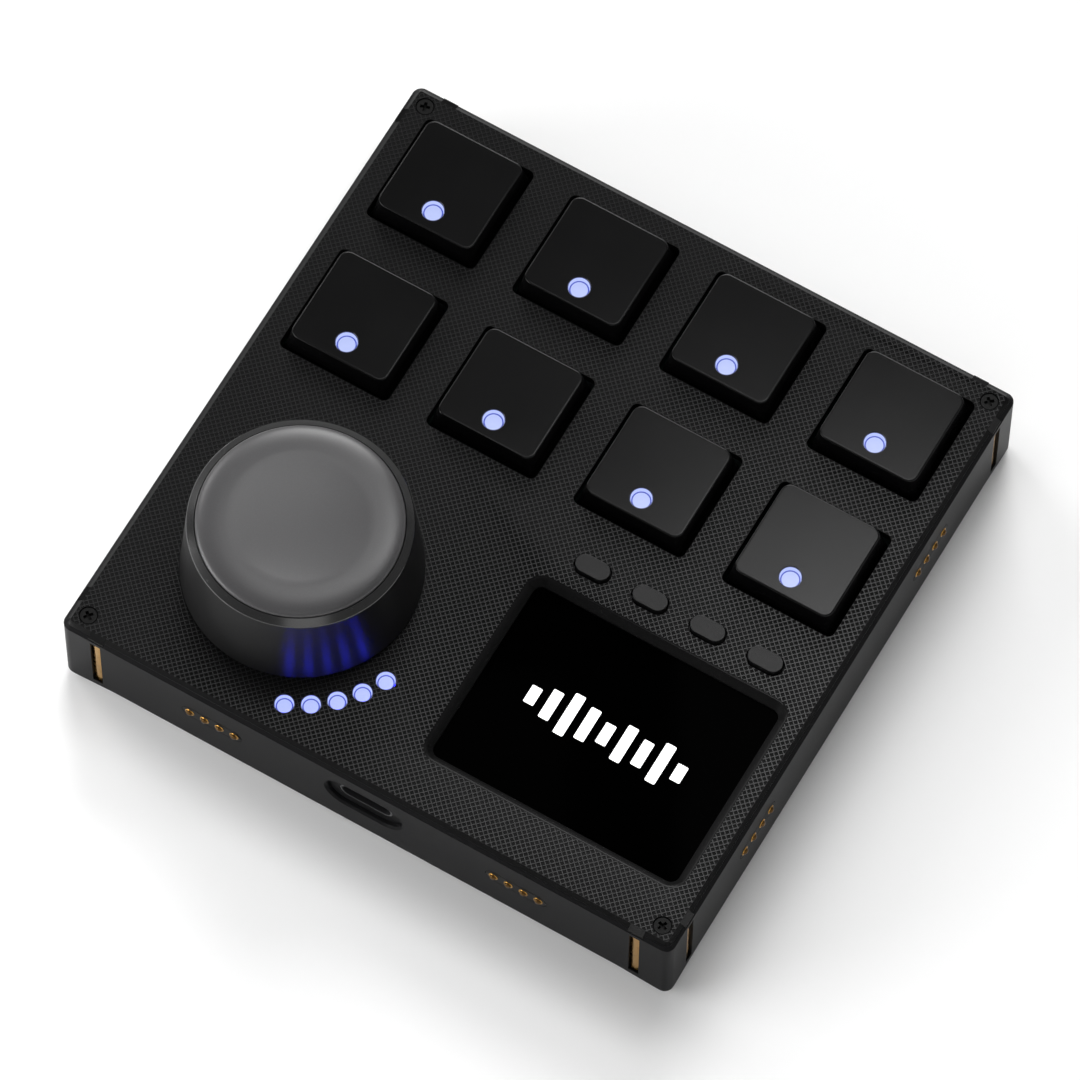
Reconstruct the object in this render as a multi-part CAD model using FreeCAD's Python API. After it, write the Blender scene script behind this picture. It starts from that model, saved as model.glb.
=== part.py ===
import FreeCAD, Part
import math
import os

# A square desk keypad: eight lit keys, a push-and-turn knob, a small display with four
# buttons, and docking contacts and magnets round the sides. Millimetres throughout.
# X runs along the front side, Y to the back, Z up. The origin is on the desk, under the
# centre of the body. Sides are counted front, right, back, left.

# Driving dimensions of the whole
key_pitch = 25.4
keys_per_row = 4
key_rows = 2
side_margin = 1.2
body_height = 16.5
corner_radius = 1.5
wall = 2.0
floor_thickness = 1.5
plate_thickness = 1.5
plate_lip = 0.6
edge_chamfer = 0.55
foot_height = 1.0
board_thickness = 1.6
standoff_height = 4.5
overrun = 2.0
hidden_facets = 12
slip = 0.1
press_gap = 0.05

# Keys
key_travel = 2.5
cap_side = 18.1
cap_top_side = 16.6
cap_foot_corner = 0.8
cap_top_corner = 1.6
cap_rise = 3.2
cap_skirt_drop = 2.1
cap_wall = 1.1
cap_top_thickness = 1.2
cap_edge_chamfer = 0.3
cutout_gap = 0.4
cutout_corner = 1.0
window_offset = 5.08
window_radius = 1.75
key_lens_recess = 0.15
key_lens_length = 1.8
post_radius = 2.75
cross_length = 4.0
cross_thickness = 1.2

# Key switches
switch_side = 14.0
switch_top_side = 12.6
switch_height = 5.8
switch_shoulder_height = 3.4
switch_floor = 0.8
sleeve_length = 7.2
sleeve_width = 5.6
light_slot_length = 4.6
light_slot_width = 2.2

# Knob and its encoder
control_row_inset = 25.7
knob_inset = 26.4
knob_base_radius = 18.2
knob_rim_radius = 16.8
knob_height = 17.7
knob_lift = 0.8
knob_wall = 1.3
knob_web = 1.6
rim_slope_width = 1.25
rim_slope_height = 0.7
knob_hub_radius = 5.2
knob_rib_thickness = 1.2
knob_ribs = 6
cap_disc_thickness = 3.6
cap_shoulder_height = 1.2
cap_shoulder_width = 4.3
dish_margin = 0.5
dish_depth = 0.5
encoder_side = 12.0
encoder_height = 4.6
encoder_floor = 0.6
bush_radius = 3.5
bush_rise = 1.8
shaft_radius = 3.0
shaft_flat_depth = 1.5
shaft_running_gap = 0.05
plunger_thickness = 0.9
push_travel = 0.5

# Dial lights
light_count = 5
light_arc_radius = 22.05
light_arc_middle = -45.7
light_arc_step = 10.2
light_radius = 1.5
light_recess = 0.12

# Light emitters on the board
emitter_length = 1.6
emitter_width = 1.2
emitter_height = 0.7

# Display
display_inset = 25.7
display_length = 43.7
display_width = 33.8
display_corner = 2.5
bevel_width = 1.1
bevel_depth = 1.1
glass_overlap = 0.9
glass_thickness = 1.1
module_margin = 0.6
module_thickness = 2.1
ribbon_width = 12.0
ribbon_thickness = 0.3
ribbon_lap = 6.0

# Buttons above the display
button_count = 4
button_pitch = 9.8
button_length = 5.6
button_width = 3.0
button_rise = 0.8
button_gap = 0.25
button_row_offset = 4.6
button_flange = 0.6
button_flange_thickness = 0.8
button_travel = 0.4
button_stalk_radius = 1.2
tact_side = 6.0
tact_height = 3.6
tact_floor = 1.6

# Magnets in the corners
magnet_radius = 1.5
magnet_gap = 0.1
magnet_inset = 6.0
magnet_set_back = 0.35
magnet_end_gap = 0.15
slot_width = 1.7
slot_top_margin = 1.3
slot_bottom_margin = 1.65
slot_end_lip = 0.3
post_length = 8.2
post_skin = 0.95
tab_width = 2.5
tab_reach = 1.5
tab_set_back = 0.15

# Docking contacts
group_share = 0.25
groups_per_side = 2
pins_per_group = 4
pin_pitch = 2.54
pin_radius = 0.5
pin_proud = 0.5
pin_length = 4.0
pin_running_gap = 0.1
pin_nose_share = 0.5
contact_facets = 8
pad_radius = 0.8
pad_depth = 1.2
block_length = 10.2
block_height = 2.8
block_depth = 5.0
block_wing = 1.1
block_wing_depth = 1.2

# Data and power socket
socket_recess_length = 12.8
socket_recess_height = 6.5
socket_recess_depth = 0.9
socket_mouth_chamfer = 0.35
socket_length = 8.94
socket_height = 3.2
socket_wall = 0.3
socket_depth = 7.3
tongue_length = 6.6
tongue_thickness = 0.7
tongue_reach = 4.6

# Fasteners and feet
plate_screw_inset = 3.1
plate_screw_radius = 0.8
plate_screw_head_radius = 1.35
plate_screw_head_depth = 0.8
plate_screw_length = 6.0
plate_screw_sink = 0.1
screw_boss_radius = 2.2
board_screw_inset = 8.0
board_screw_radius = 0.9
board_screw_head_radius = 1.8
board_screw_head_height = 1.2
board_screw_length = 5.0
standoff_radius = 2.5
foot_radius = 4.5
foot_inset = 12.0
foot_pocket_depth = 0.8

# Lower edge of the case
lower_chamfer = 0.65
run_out_start = 2.2
run_out_length = 6.5

# Sizes that follow
body_side = keys_per_row * key_pitch + 2 * side_margin
half_side = body_side / 2
case_bottom = foot_height
floor_top = case_bottom + floor_thickness
plate_top = case_bottom + body_height
plate_bottom = plate_top - plate_thickness
rim_top = plate_top - plate_lip
board_bottom = floor_top + standoff_height
board_top = board_bottom + board_thickness
inner_side = body_side - 2 * wall
magnet_depth = magnet_set_back + magnet_radius
bore_radius = magnet_radius + magnet_gap
post_depth = magnet_depth + bore_radius + post_skin
cap_top = plate_top + cap_rise
cap_bottom = plate_top - cap_skirt_drop
cap_ceiling = cap_top - cap_top_thickness
switch_top = board_top + switch_height
sleeve_top = switch_top + key_travel + slip
sleeve_bottom = board_top + switch_floor + key_travel + slip
knob_x = knob_inset - half_side
control_row_y = control_row_inset - half_side
knob_top = plate_top + knob_height
knob_bottom = plate_top + knob_lift
knob_ring_top = knob_top - cap_shoulder_height
cap_disc_radius = knob_rim_radius - rim_slope_width
cap_disc_bottom = knob_top - cap_disc_thickness
encoder_top = board_top + encoder_height
bush_top = plate_top + bush_rise
well_bottom = board_top + encoder_floor
shaft_bottom = well_bottom + slip + push_travel + plunger_thickness + press_gap
shaft_top = cap_disc_bottom - knob_web - press_gap
hub_bottom = bush_top + push_travel + slip
display_x = half_side - display_inset
glass_length = display_length - 2 * bevel_width + 2 * glass_overlap
glass_width = display_width - 2 * bevel_width + 2 * glass_overlap
glass_bottom = plate_bottom - glass_thickness
module_bottom = glass_bottom - module_thickness
button_y = control_row_y + display_width / 2 + button_row_offset
button_top = plate_top + button_rise
button_flange_top = plate_bottom - press_gap
button_flange_bottom = button_flange_top - button_flange_thickness
tact_top = board_top + tact_height
stalk_bottom = board_top + tact_floor + button_travel + slip
contact_z = board_top + block_height / 2
socket_z = board_top + socket_height / 2
group_offset = body_side * group_share

UP = FreeCAD.Vector(0, 0, 1)
CENTRE = FreeCAD.Vector(0, 0, 0)
ALONG_X = FreeCAD.Vector(1, 0, 0)
FRONT, RIGHT, BACK, LEFT = range(4)
SIDES = (FRONT, RIGHT, BACK, LEFT)


def save(name, shape):
    """Write one sub-part."""
    shape.exportStep("parts/" + name + ".step")


def joined(shapes):
    """Several touching shapes as one, without the seams between them."""
    first, *others = shapes
    if not others:
        return first
    return first.fuse(others).removeSplitter()


def group(shapes):
    """Several separate solids kept together."""
    return Part.makeCompound(shapes)


def moved(shape, x=0, y=0, z=0):
    """A copy of the shape, shifted."""
    copy = shape.copy()
    copy.translate(FreeCAD.Vector(x, y, z))
    return copy


def on_side(shape, side):
    """A copy of something made for the front side, turned to another side."""
    copy = shape.copy()
    copy.rotate(CENTRE, UP, 90 * side)
    return copy


def outline(length, width, corner=0, z=0):
    """A rectangle about the origin, with round corners where a corner is given, as a closed wire."""
    x = length / 2 - corner
    y = width / 2 - corner
    centres = ((x, y, 0), (-x, y, 90), (-x, -y, 180), (x, -y, 270))
    if not corner:
        points = [FreeCAD.Vector(point_x, point_y, z) for point_x, point_y, start in centres]
        return Part.makePolygon(points + points[:1])
    arcs = []
    for centre_x, centre_y, start in centres:
        centre = FreeCAD.Vector(centre_x, centre_y, z)
        arcs.append(Part.makeCircle(corner, centre, UP, start, start + 90))
    edges = []
    for arc, following in zip(arcs, arcs[1:] + arcs[:1]):
        edges.append(arc)
        start, end = arc.Vertexes[-1].Point, following.Vertexes[0].Point
        if not start.isEqual(end, slip * slip):
            edges.append(Part.makeLine(start, end))
    return Part.Wire(edges)


def block(length, width, low, high, x=0, y=0, corner=0):
    """An upright block centred on x, y, with its upright edges rounded where a corner is given."""
    if corner:
        solid = Part.Face(outline(length, width, corner)).extrude(UP * (high - low))
    else:
        solid = Part.makeBox(length, width, high - low, FreeCAD.Vector(-length / 2, -width / 2, 0))
    return moved(solid, x, y, low)


def rod(radius, low, high, x=0, y=0):
    """An upright cylinder."""
    return Part.makeCylinder(radius, high - low, FreeCAD.Vector(x, y, low))


def drawn_in(low_side, high_side, low, high):
    """A square block whose four sides lean evenly from one size below to another above."""
    wide, narrow = low_side / 2, high_side / 2
    solid = Part.makeWedge(-wide, low, -wide, -narrow, -narrow, wide, high, wide, narrow, narrow)
    solid.rotate(CENTRE, ALONG_X, 90)
    return solid


def polygon(radius, height, sides):
    """A regular polygon about the Z axis, as a closed wire."""
    points = []
    for number in range(sides + 1):
        angle = 2 * math.pi * number / sides
        points.append(FreeCAD.Vector(radius * math.cos(angle), radius * math.sin(angle), height))
    return Part.makePolygon(points)


def faceted_rod(radius, low, high, x=0, y=0):
    """An upright bar with flat facets, for round pieces that the case hides."""
    solid = Part.Face(polygon(radius, low, hidden_facets)).extrude(UP * (high - low))
    return moved(solid, x, y)


def faceted_hole(radius, low, high, x=0, y=0):
    """The room round a faceted bar: its flats, not its corners, lie at the radius."""
    return faceted_rod(radius / math.cos(math.pi / hidden_facets), low, high, x, y)


def turned_profile(edges):
    """A round solid, from the half section that the edges draw in the XZ plane."""
    return Part.Face(Part.Wire(edges)).revolve(CENTRE, UP, 360)


def section_line(start, end):
    """A straight edge of a half section, between two points of radius and height."""
    return Part.makeLine(FreeCAD.Vector(start[0], 0, start[1]), FreeCAD.Vector(end[0], 0, end[1]))


def section_lines(points):
    """Straight edges of a half section, one after another."""
    return [section_line(start, end) for start, end in zip(points, points[1:])]


def through_front(length, height, near, far, along=0, z=0, corner=None):
    """A prism that goes into the front wall, from one depth behind its face to another."""
    rounding = height / 2 if corner is None else corner
    solid = Part.Face(outline(length, height, rounding)).extrude(UP * (far - near))
    solid.rotate(CENTRE, ALONG_X, -90)
    return moved(solid, along, near - half_side, z)


def level_edges(solid, height):
    """The edges of a solid that lie level at a height."""
    return [edge for edge in solid.Edges if
            all(abs(vertex.Z - height) < press_gap for vertex in edge.Vertexes)]


def key_places():
    """Centres of the keys, row by row from the back left."""
    places = []
    for row in range(key_rows):
        y = (key_rows - row - 0.5) * key_pitch
        for column in range(keys_per_row):
            places.append(((column - (keys_per_row - 1) / 2) * key_pitch, y))
    return places


def light_places():
    """Centres of the dial lights, from the front of the arc to its right."""
    places = []
    for number in range(light_count):
        angle = math.radians(light_arc_middle + (number - (light_count - 1) / 2) * light_arc_step)
        places.append((knob_x + light_arc_radius * math.cos(angle),
                       control_row_y + light_arc_radius * math.sin(angle)))
    return places


def button_places():
    """Centres of the buttons, left to right."""
    middle = (button_count - 1) / 2
    return [display_x + (number - middle) * button_pitch for number in range(button_count)]


def corner_places(inset):
    """Four places, each the same distance in from its two sides."""
    reach = half_side - inset
    return [(x * reach, y * reach) for x in (-1, 1) for y in (-1, 1)]


def board_screw_places():
    """Two screws between the keys and two near the front corners."""
    reach = half_side - board_screw_inset
    return [(-key_pitch, key_pitch), (key_pitch, key_pitch), (-reach, -reach), (reach, -reach)]


def magnet_places():
    """Centres of the magnets, two to a side, in the order of the sides."""
    places = []
    for side in SIDES:
        for end in (-1, 1):
            point = Part.Vertex(end * (half_side - magnet_inset), magnet_depth - half_side, 0)
            turned = on_side(point, side)
            places.append((turned.X, turned.Y))
    return places


def group_places():
    """Places of the contact groups along a side."""
    return (-group_offset, group_offset)


def pin_places():
    """Places of all contacts along a side."""
    middle = (pins_per_group - 1) / 2
    return [place + (number - middle) * pin_pitch
            for place in group_places() for number in range(pins_per_group)]


def corner_posts():
    """Thick corners that hold the magnets and the plate's screws, as room left in the tray."""
    posts = []
    for x_end in (-1, 1):
        for y_end in (-1, 1):
            thick = block(post_length, post_length, floor_top, plate_bottom,
                          x_end * (half_side - post_length / 2), y_end * (half_side - post_length / 2))
            relief = post_length - post_depth
            inner = block(2 * relief, 2 * relief, floor_top - overrun, plate_bottom + overrun,
                          x_end * (half_side - post_length), y_end * (half_side - post_length))
            boss = faceted_rod(screw_boss_radius, floor_top, plate_bottom,
                               x_end * (half_side - plate_screw_inset),
                               y_end * (half_side - plate_screw_inset))
            posts.append(thick.cut(inner).fuse(boss))
    return posts


def lower_edge_cutter():
    """The wedge that takes the front lower edge off between the corners and runs out at both ends."""
    sections = []
    end = half_side - run_out_start
    full = end - run_out_length
    for x, size in ((-end, 0), (-full, lower_chamfer), (full, lower_chamfer), (end, 0)):
        upper = FreeCAD.Vector(x, -half_side - overrun, case_bottom + size + overrun)
        inner = FreeCAD.Vector(x, -half_side + size + overrun, case_bottom - overrun)
        outer = FreeCAD.Vector(x, -half_side - overrun, case_bottom - overrun)
        sections.append(Part.makePolygon([upper, inner, outer, upper]))
    return Part.makeLoft(sections, True, True)


def lower_case():
    """The tray: floor, walls, thick corners, standoffs, and the openings in its four sides."""
    outer = block(body_side, body_side, case_bottom, rim_top, corner=corner_radius)
    outer = outer.makeChamfer(edge_chamfer, level_edges(outer, rim_top))
    cavity = block(inner_side, inner_side, floor_top, plate_top + overrun)
    solid = outer.cut(cavity.cut(corner_posts()))
    standoffs = [faceted_rod(standoff_radius, floor_top - overrun / 2, board_bottom, x, y)
                 for x, y in board_screw_places()]
    solid = solid.fuse(standoffs)

    cuts = []
    for x, y in magnet_places():
        cuts.append(faceted_hole(bore_radius, slot_floor() - slot_end_lip, plate_top + overrun, x, y))
    for side in SIDES:
        cuts.append(on_side(lower_edge_cutter(), side))
        for end in (-1, 1):
            slot = block(slot_width, magnet_depth + overrun, slot_floor(), slot_ceiling(),
                         end * (half_side - magnet_inset), (magnet_depth - overrun) / 2 - half_side)
            cuts.append(on_side(slot, side))
        for place in group_places():
            window = through_front(block_length + 2 * slip, block_height + 2 * slip,
                                   -overrun, wall + overrun, place, contact_z)
            cuts.append(on_side(window, side))
    for x, y in board_screw_places():
        cuts.append(faceted_hole(board_screw_radius + press_gap, board_top - board_screw_length - slip,
                                 board_top, x, y))
    for x, y in corner_places(plate_screw_inset):
        cuts.append(faceted_hole(plate_screw_radius + press_gap, plate_top - plate_screw_length - slip,
                                 plate_top, x, y))
    for x, y in corner_places(foot_inset):
        cuts.append(rod(foot_radius + slip, case_bottom - overrun, case_bottom + foot_pocket_depth, x, y))
    cuts.append(socket_opening())
    return solid.cut(cuts).removeSplitter()


def slot_floor():
    """Height of the lower end of a magnet's slot."""
    return case_bottom + slot_bottom_margin


def slot_ceiling():
    """Height of the upper end of a magnet's slot."""
    return rim_top - slot_top_margin


def socket_opening():
    """The round-ended recess that a plug's grip enters, and the hole for the socket behind it."""
    recess = through_front(socket_recess_length, socket_recess_height, -overrun,
                           socket_recess_depth, z=socket_z)
    mouth_wide = outline(socket_recess_length + 2 * socket_mouth_chamfer,
                         socket_recess_height + 2 * socket_mouth_chamfer,
                         socket_recess_height / 2 + socket_mouth_chamfer)
    mouth_narrow = outline(socket_recess_length, socket_recess_height,
                           socket_recess_height / 2, socket_mouth_chamfer)
    mouth = Part.makeLoft([mouth_wide, mouth_narrow], True, True)
    mouth.rotate(CENTRE, ALONG_X, -90)
    mouth = moved(mouth, y=-half_side, z=socket_z)
    hole = through_front(socket_length + 2 * slip, socket_height + 2 * slip, 0, wall + overrun,
                         z=socket_z)
    return recess.fuse([mouth, hole])


def display_cutter():
    """The display's opening: bevelled down from the plate's face, then straight."""
    corner_at_foot = display_corner - bevel_width
    top = outline(display_length, display_width, display_corner, plate_top)
    foot = outline(display_length - 2 * bevel_width, display_width - 2 * bevel_width,
                   corner_at_foot, plate_top - bevel_depth)
    bevel = Part.makeLoft([foot, top], True, True)
    straight = block(display_length - 2 * bevel_width, display_width - 2 * bevel_width,
                     plate_bottom - overrun, plate_top, corner=corner_at_foot)
    above = block(display_length, display_width, plate_top, plate_top + overrun, corner=display_corner)
    return moved(bevel.fuse([straight, above]), display_x, control_row_y)


def top_plate():
    """The face plate: a lip on the case's rim, a body that drops inside it, and every cut-out."""
    lip_side = body_side - 2 * edge_chamfer
    lip = block(lip_side, lip_side, rim_top, plate_top, corner=corner_radius - edge_chamfer)
    lip = lip.makeChamfer(edge_chamfer, level_edges(lip, plate_top))
    drop_side = inner_side - 2 * slip
    drop = block(drop_side, drop_side, plate_bottom, rim_top)
    tabs = []
    for side in SIDES:
        for end in (-1, 1):
            tab = block(tab_width, tab_reach, rim_top, plate_top,
                        end * (half_side - magnet_inset), tab_set_back + tab_reach / 2 - half_side)
            tabs.append(on_side(tab, side))
    solid = joined([lip, drop] + tabs)

    cutout = cap_side + 2 * cutout_gap
    low, high = plate_bottom - overrun, plate_top + overrun
    cuts = [block(cutout, cutout, low, high, x, y, cutout_corner) for x, y in key_places()]
    cuts.append(display_cutter())
    for x in button_places():
        cuts.append(block(button_length + 2 * button_gap, button_width + 2 * button_gap, low, high,
                          x, button_y, button_width / 2 + button_gap))
    for x, y in light_places():
        cuts.append(rod(light_radius + press_gap, low, high, x, y))
    cuts.append(rod(bush_radius + slip, low, high, knob_x, control_row_y))
    for x, y in corner_places(plate_screw_inset):
        cuts.append(faceted_hole(plate_screw_radius + slip, low, high, x, y))
        cuts.append(screw_seat(x, y))
    return solid.cut(cuts)


def screw_seat(x, y):
    """The countersink of one plate screw."""
    cone_top = plate_top - plate_screw_sink
    cone = Part.makeCone(plate_screw_radius + slip, plate_screw_head_radius + slip,
                         plate_screw_head_depth, FreeCAD.Vector(x, y, cone_top - plate_screw_head_depth))
    mouth = rod(plate_screw_head_radius + slip, cone_top, plate_top + overrun, x, y)
    return cone.fuse(mouth)


def main_board():
    """The circuit board on its standoffs, cut back round the thick corners."""
    edge = inner_side - 2 * slip
    between_posts = body_side - 2 * (post_length + slip)
    inside_posts = body_side - 2 * (post_depth + 2 * slip)
    solid = joined([block(inside_posts, inside_posts, board_bottom, board_top),
                    block(edge, between_posts, board_bottom, board_top),
                    block(between_posts, edge, board_bottom, board_top)])
    low, high = board_bottom - overrun, board_top + overrun
    bosses = [faceted_hole(screw_boss_radius + slip, low, high, x, y)
              for x, y in corner_places(plate_screw_inset)]
    holes = [faceted_hole(board_screw_radius + slip, low, high, x, y) for x, y in board_screw_places()]
    return solid.cut(bosses + holes)


def key_switch_housing():
    """One switch's housing: a square base, a drawn-in upper half, the stem's well and the light slot."""
    shoulder = board_top + switch_shoulder_height
    solid = joined([block(switch_side, switch_side, board_top, shoulder),
                    drawn_in(switch_side, switch_top_side, shoulder, switch_top)])
    well = block(sleeve_length + 2 * slip, sleeve_width + 2 * slip,
                 board_top + switch_floor, switch_top + overrun)
    slot = block(light_slot_length, light_slot_width, board_top - overrun, switch_top + overrun,
                 0, -window_offset)
    return solid.cut([well, slot])


def key_stem():
    """One switch's stem: the sleeve that slides in the housing and the cross that carries the cap."""
    sleeve = block(sleeve_length, sleeve_width, sleeve_bottom, sleeve_top)
    cross_top = cap_ceiling - slip
    along = block(cross_length, cross_thickness, sleeve_top - overrun, cross_top)
    across = block(cross_thickness, cross_length, sleeve_top - overrun, cross_top)
    return joined([sleeve, along, across])


def keycap_form():
    """A keycap's outer form: leaning sides, corners rounder at the top, and an eased top edge."""
    face_side = cap_top_side - 2 * cap_edge_chamfer
    foot = outline(cap_side, cap_side, cap_foot_corner, cap_bottom)
    shoulder = outline(cap_top_side, cap_top_side, cap_top_corner, cap_top - cap_edge_chamfer)
    face = outline(face_side, face_side, cap_top_corner - cap_edge_chamfer, cap_top)
    return Part.makeLoft([foot, shoulder, face], True, True)


def keycap():
    """One hollow keycap: its outer form, the room inside, a window, and a socket for the cross."""
    outer = keycap_form()
    inside = drawn_in(cap_side - 2 * cap_wall, cap_top_side - 2 * cap_wall, cap_bottom, cap_ceiling)
    post = faceted_rod(post_radius, sleeve_top + press_gap, cap_ceiling + cap_top_thickness / 2)
    socket_length_here = cross_length + 2 * press_gap
    socket_thickness = cross_thickness + 2 * press_gap
    socket = [block(socket_length_here, socket_thickness, sleeve_top - overrun, cap_ceiling),
              block(socket_thickness, socket_length_here, sleeve_top - overrun, cap_ceiling)]
    window = rod(window_radius, cap_ceiling - overrun, cap_top + overrun, 0, -window_offset)
    return outer.cut(inside).fuse(post).cut(socket + [window])


def key_lens():
    """The clear plug that fills one keycap's window, a little below the cap's face."""
    top = cap_top - key_lens_recess
    return rod(window_radius - press_gap, top - key_lens_length, top, 0, -window_offset)


def encoder_body():
    """The encoder on the board: a square can, its bush, and the well that the shaft turns in."""
    solid = joined([block(encoder_side, encoder_side, board_top, encoder_top),
                    rod(bush_radius, encoder_top - overrun, bush_top)])
    well = rod(shaft_radius + shaft_running_gap, well_bottom, bush_top + overrun)
    return moved(solid.cut(well), knob_x, control_row_y)


def encoder_plunger():
    """The disc under the shaft that presses the encoder's own switch."""
    low = well_bottom + slip + push_travel
    return rod(shaft_radius - slip, low, low + plunger_thickness, knob_x, control_row_y)


def shaft_form(radius, low, high, flat_low, flat_depth):
    """A round bar with a flat along its upper stretch."""
    flat = block(2 * radius, 2 * radius, flat_low, high + overrun, 2 * radius - flat_depth)
    return rod(radius, low, high).cut(flat)


def encoder_shaft():
    """The shaft, round in the bush and flatted where the knob's hub holds it."""
    solid = shaft_form(shaft_radius, shaft_bottom, shaft_top, hub_bottom, shaft_flat_depth)
    return moved(solid, knob_x, control_row_y)


def knob_radius_at(z):
    """Outer radius of the knob's side at a height."""
    share = (z - knob_bottom) / (knob_ring_top - rim_slope_height - knob_bottom)
    return knob_base_radius + share * (knob_rim_radius - knob_base_radius)


def knob_skirt():
    """The knob's body: a coned side, a sloped rim, a web with a hub, and ribs between them."""
    web_bottom = cap_disc_bottom - knob_web
    inner_low = knob_base_radius - knob_wall
    inner_high = knob_radius_at(web_bottom) - knob_wall
    points = [(0, cap_disc_bottom), (0, web_bottom), (inner_high, web_bottom), (inner_low, knob_bottom),
              (knob_base_radius, knob_bottom), (knob_rim_radius, knob_ring_top - rim_slope_height),
              (cap_disc_radius, knob_ring_top), (cap_disc_radius, cap_disc_bottom), (0, cap_disc_bottom)]
    solid = turned_profile(section_lines(points))
    hub = rod(knob_hub_radius, hub_bottom, web_bottom + knob_web / 2)
    ribs = []
    for number in range(knob_ribs):
        length = inner_high - knob_hub_radius / 2
        rib = block(length, knob_rib_thickness, (hub_bottom + web_bottom) / 2, web_bottom + knob_web / 2,
                    knob_hub_radius / 2 + length / 2)
        rib.rotate(CENTRE, UP, 360 * number / knob_ribs)
        ribs.append(rib)
    hole = shaft_form(shaft_radius + press_gap, hub_bottom - overrun, shaft_top + press_gap,
                      hub_bottom - overrun, shaft_flat_depth)
    return moved(solid.fuse([hub] + ribs).cut(hole), knob_x, control_row_y)


def knob_cap():
    """The disc set in the knob's rim: a rounded shoulder round a shallow dish for the finger."""
    crest = cap_disc_radius - cap_shoulder_width
    dish_radius = crest - dish_margin
    side = FreeCAD.Vector(cap_disc_radius, 0, knob_ring_top)
    top = FreeCAD.Vector(crest, 0, knob_top)
    curve = Part.Ellipse(side, top, FreeCAD.Vector(crest, 0, knob_ring_top))
    shoulder = Part.ArcOfEllipse(curve, 0, math.pi / 2).toShape()
    ball_radius = (dish_radius ** 2 + dish_depth ** 2) / (2 * dish_depth)
    middle_drop = dish_depth - ball_radius + math.sqrt(ball_radius ** 2 - (dish_radius / 2) ** 2)
    dish = Part.Arc(FreeCAD.Vector(dish_radius, 0, knob_top),
                    FreeCAD.Vector(dish_radius / 2, 0, knob_top - middle_drop),
                    FreeCAD.Vector(0, 0, knob_top - dish_depth)).toShape()
    edges = [section_line((0, cap_disc_bottom), (cap_disc_radius, cap_disc_bottom)),
             section_line((cap_disc_radius, cap_disc_bottom), (cap_disc_radius, knob_ring_top)),
             shoulder,
             section_line((crest, knob_top), (dish_radius, knob_top)),
             dish,
             section_line((0, knob_top - dish_depth), (0, cap_disc_bottom))]
    return moved(turned_profile(edges), knob_x, control_row_y)


def dial_lenses():
    """Light pipes held in the plate, each over its emitter."""
    pipes = []
    foot = board_top + emitter_height + slip
    for x, y in light_places():
        pipes.append(rod(light_radius, foot, plate_top - light_recess, x, y))
    return group(pipes)


def light_emitters():
    """The emitters on the board: one under each dial light and one beside each key's stem."""
    places = light_places() + [(x, y - window_offset) for x, y in key_places()]
    return group([block(emitter_length, emitter_width, board_top, board_top + emitter_height, x, y)
                  for x, y in places])


def display_glass():
    """The cover glass, bonded under the plate's opening."""
    return block(glass_length, glass_width, glass_bottom, plate_bottom, display_x, control_row_y,
                 display_corner)


def display_module():
    """The display panel behind the glass."""
    return block(glass_length - 2 * module_margin, glass_width - 2 * module_margin,
                 module_bottom, glass_bottom, display_x, control_row_y)


def display_ribbon():
    """The flat cable that folds from under the display panel down to the board."""
    outer = (module_bottom - board_top) / 2
    middle = board_top + outer
    bend_x = display_x - glass_length / 2 + module_margin + outer
    ring = rod(outer, 0, ribbon_width).cut(rod(outer - ribbon_thickness, -overrun, ribbon_width + overrun))
    half = ring.common(block(2 * outer, 2 * outer, 0, ribbon_width, -outer))
    legs = [block(ribbon_lap, ribbon_thickness, 0, ribbon_width, ribbon_lap / 2,
                  end * (outer - ribbon_thickness / 2)) for end in (-1, 1)]
    solid = joined([half] + legs)
    solid.rotate(CENTRE, ALONG_X, 90)
    return moved(solid, bend_x, control_row_y + ribbon_width / 2, middle)


def soft_button(x):
    """One round-ended button with the flange that keeps it under the plate and its stalk."""
    crown = block(button_length, button_width, button_flange_bottom, button_top, x, button_y,
                  button_width / 2)
    crown = crown.makeChamfer(button_gap, level_edges(crown, button_top))
    flange_width = button_width + 2 * button_flange
    flange = block(button_length + 2 * button_flange, flange_width, button_flange_bottom,
                   button_flange_top, x, button_y, flange_width / 2)
    stalk = faceted_rod(button_stalk_radius, stalk_bottom, button_flange_top, x, button_y)
    return crown.fuse([flange, stalk]).removeSplitter()


def button_switches():
    """The switch under each button, with the well that the stalk works in."""
    switches = []
    for x in button_places():
        base = block(tact_side, tact_side, board_top, tact_top, x, button_y)
        well = faceted_hole(button_stalk_radius + slip, board_top + tact_floor, tact_top + overrun,
                            x, button_y)
        switches.append(base.cut(well))
    return group(switches)


def magnet(x, y):
    """One round bar magnet, standing in its bore behind the slot."""
    low = slot_floor() - slot_end_lip + magnet_end_gap
    return rod(magnet_radius, low, plate_bottom - magnet_end_gap, x, y)


def contact_blocks():
    """The insulating inserts in the sides: bored for spring pins in front and right, for pads elsewhere."""
    blocks = []
    for side in SIDES:
        for place in group_places():
            body = through_front(block_length, block_height, 0, block_depth, place, contact_z)
            wings = block(block_length + 2 * block_wing, block_wing_depth, board_top,
                          board_top + block_height, place,
                          wall + press_gap + block_wing_depth / 2 - half_side)
            solid = body.fuse(wings).removeSplitter()
            for along in pin_places():
                if abs(along - place) > block_length / 2:
                    continue
                if side in (FRONT, RIGHT):
                    bore = contact_bar(pin_radius + pin_running_gap, -overrun,
                                       pin_length + slip, along)
                else:
                    bore = contact_bar(pad_radius, -overrun, pad_depth, along)
                solid = solid.cut(bore)
            blocks.append(on_side(solid, side))
    return group(blocks)


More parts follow.
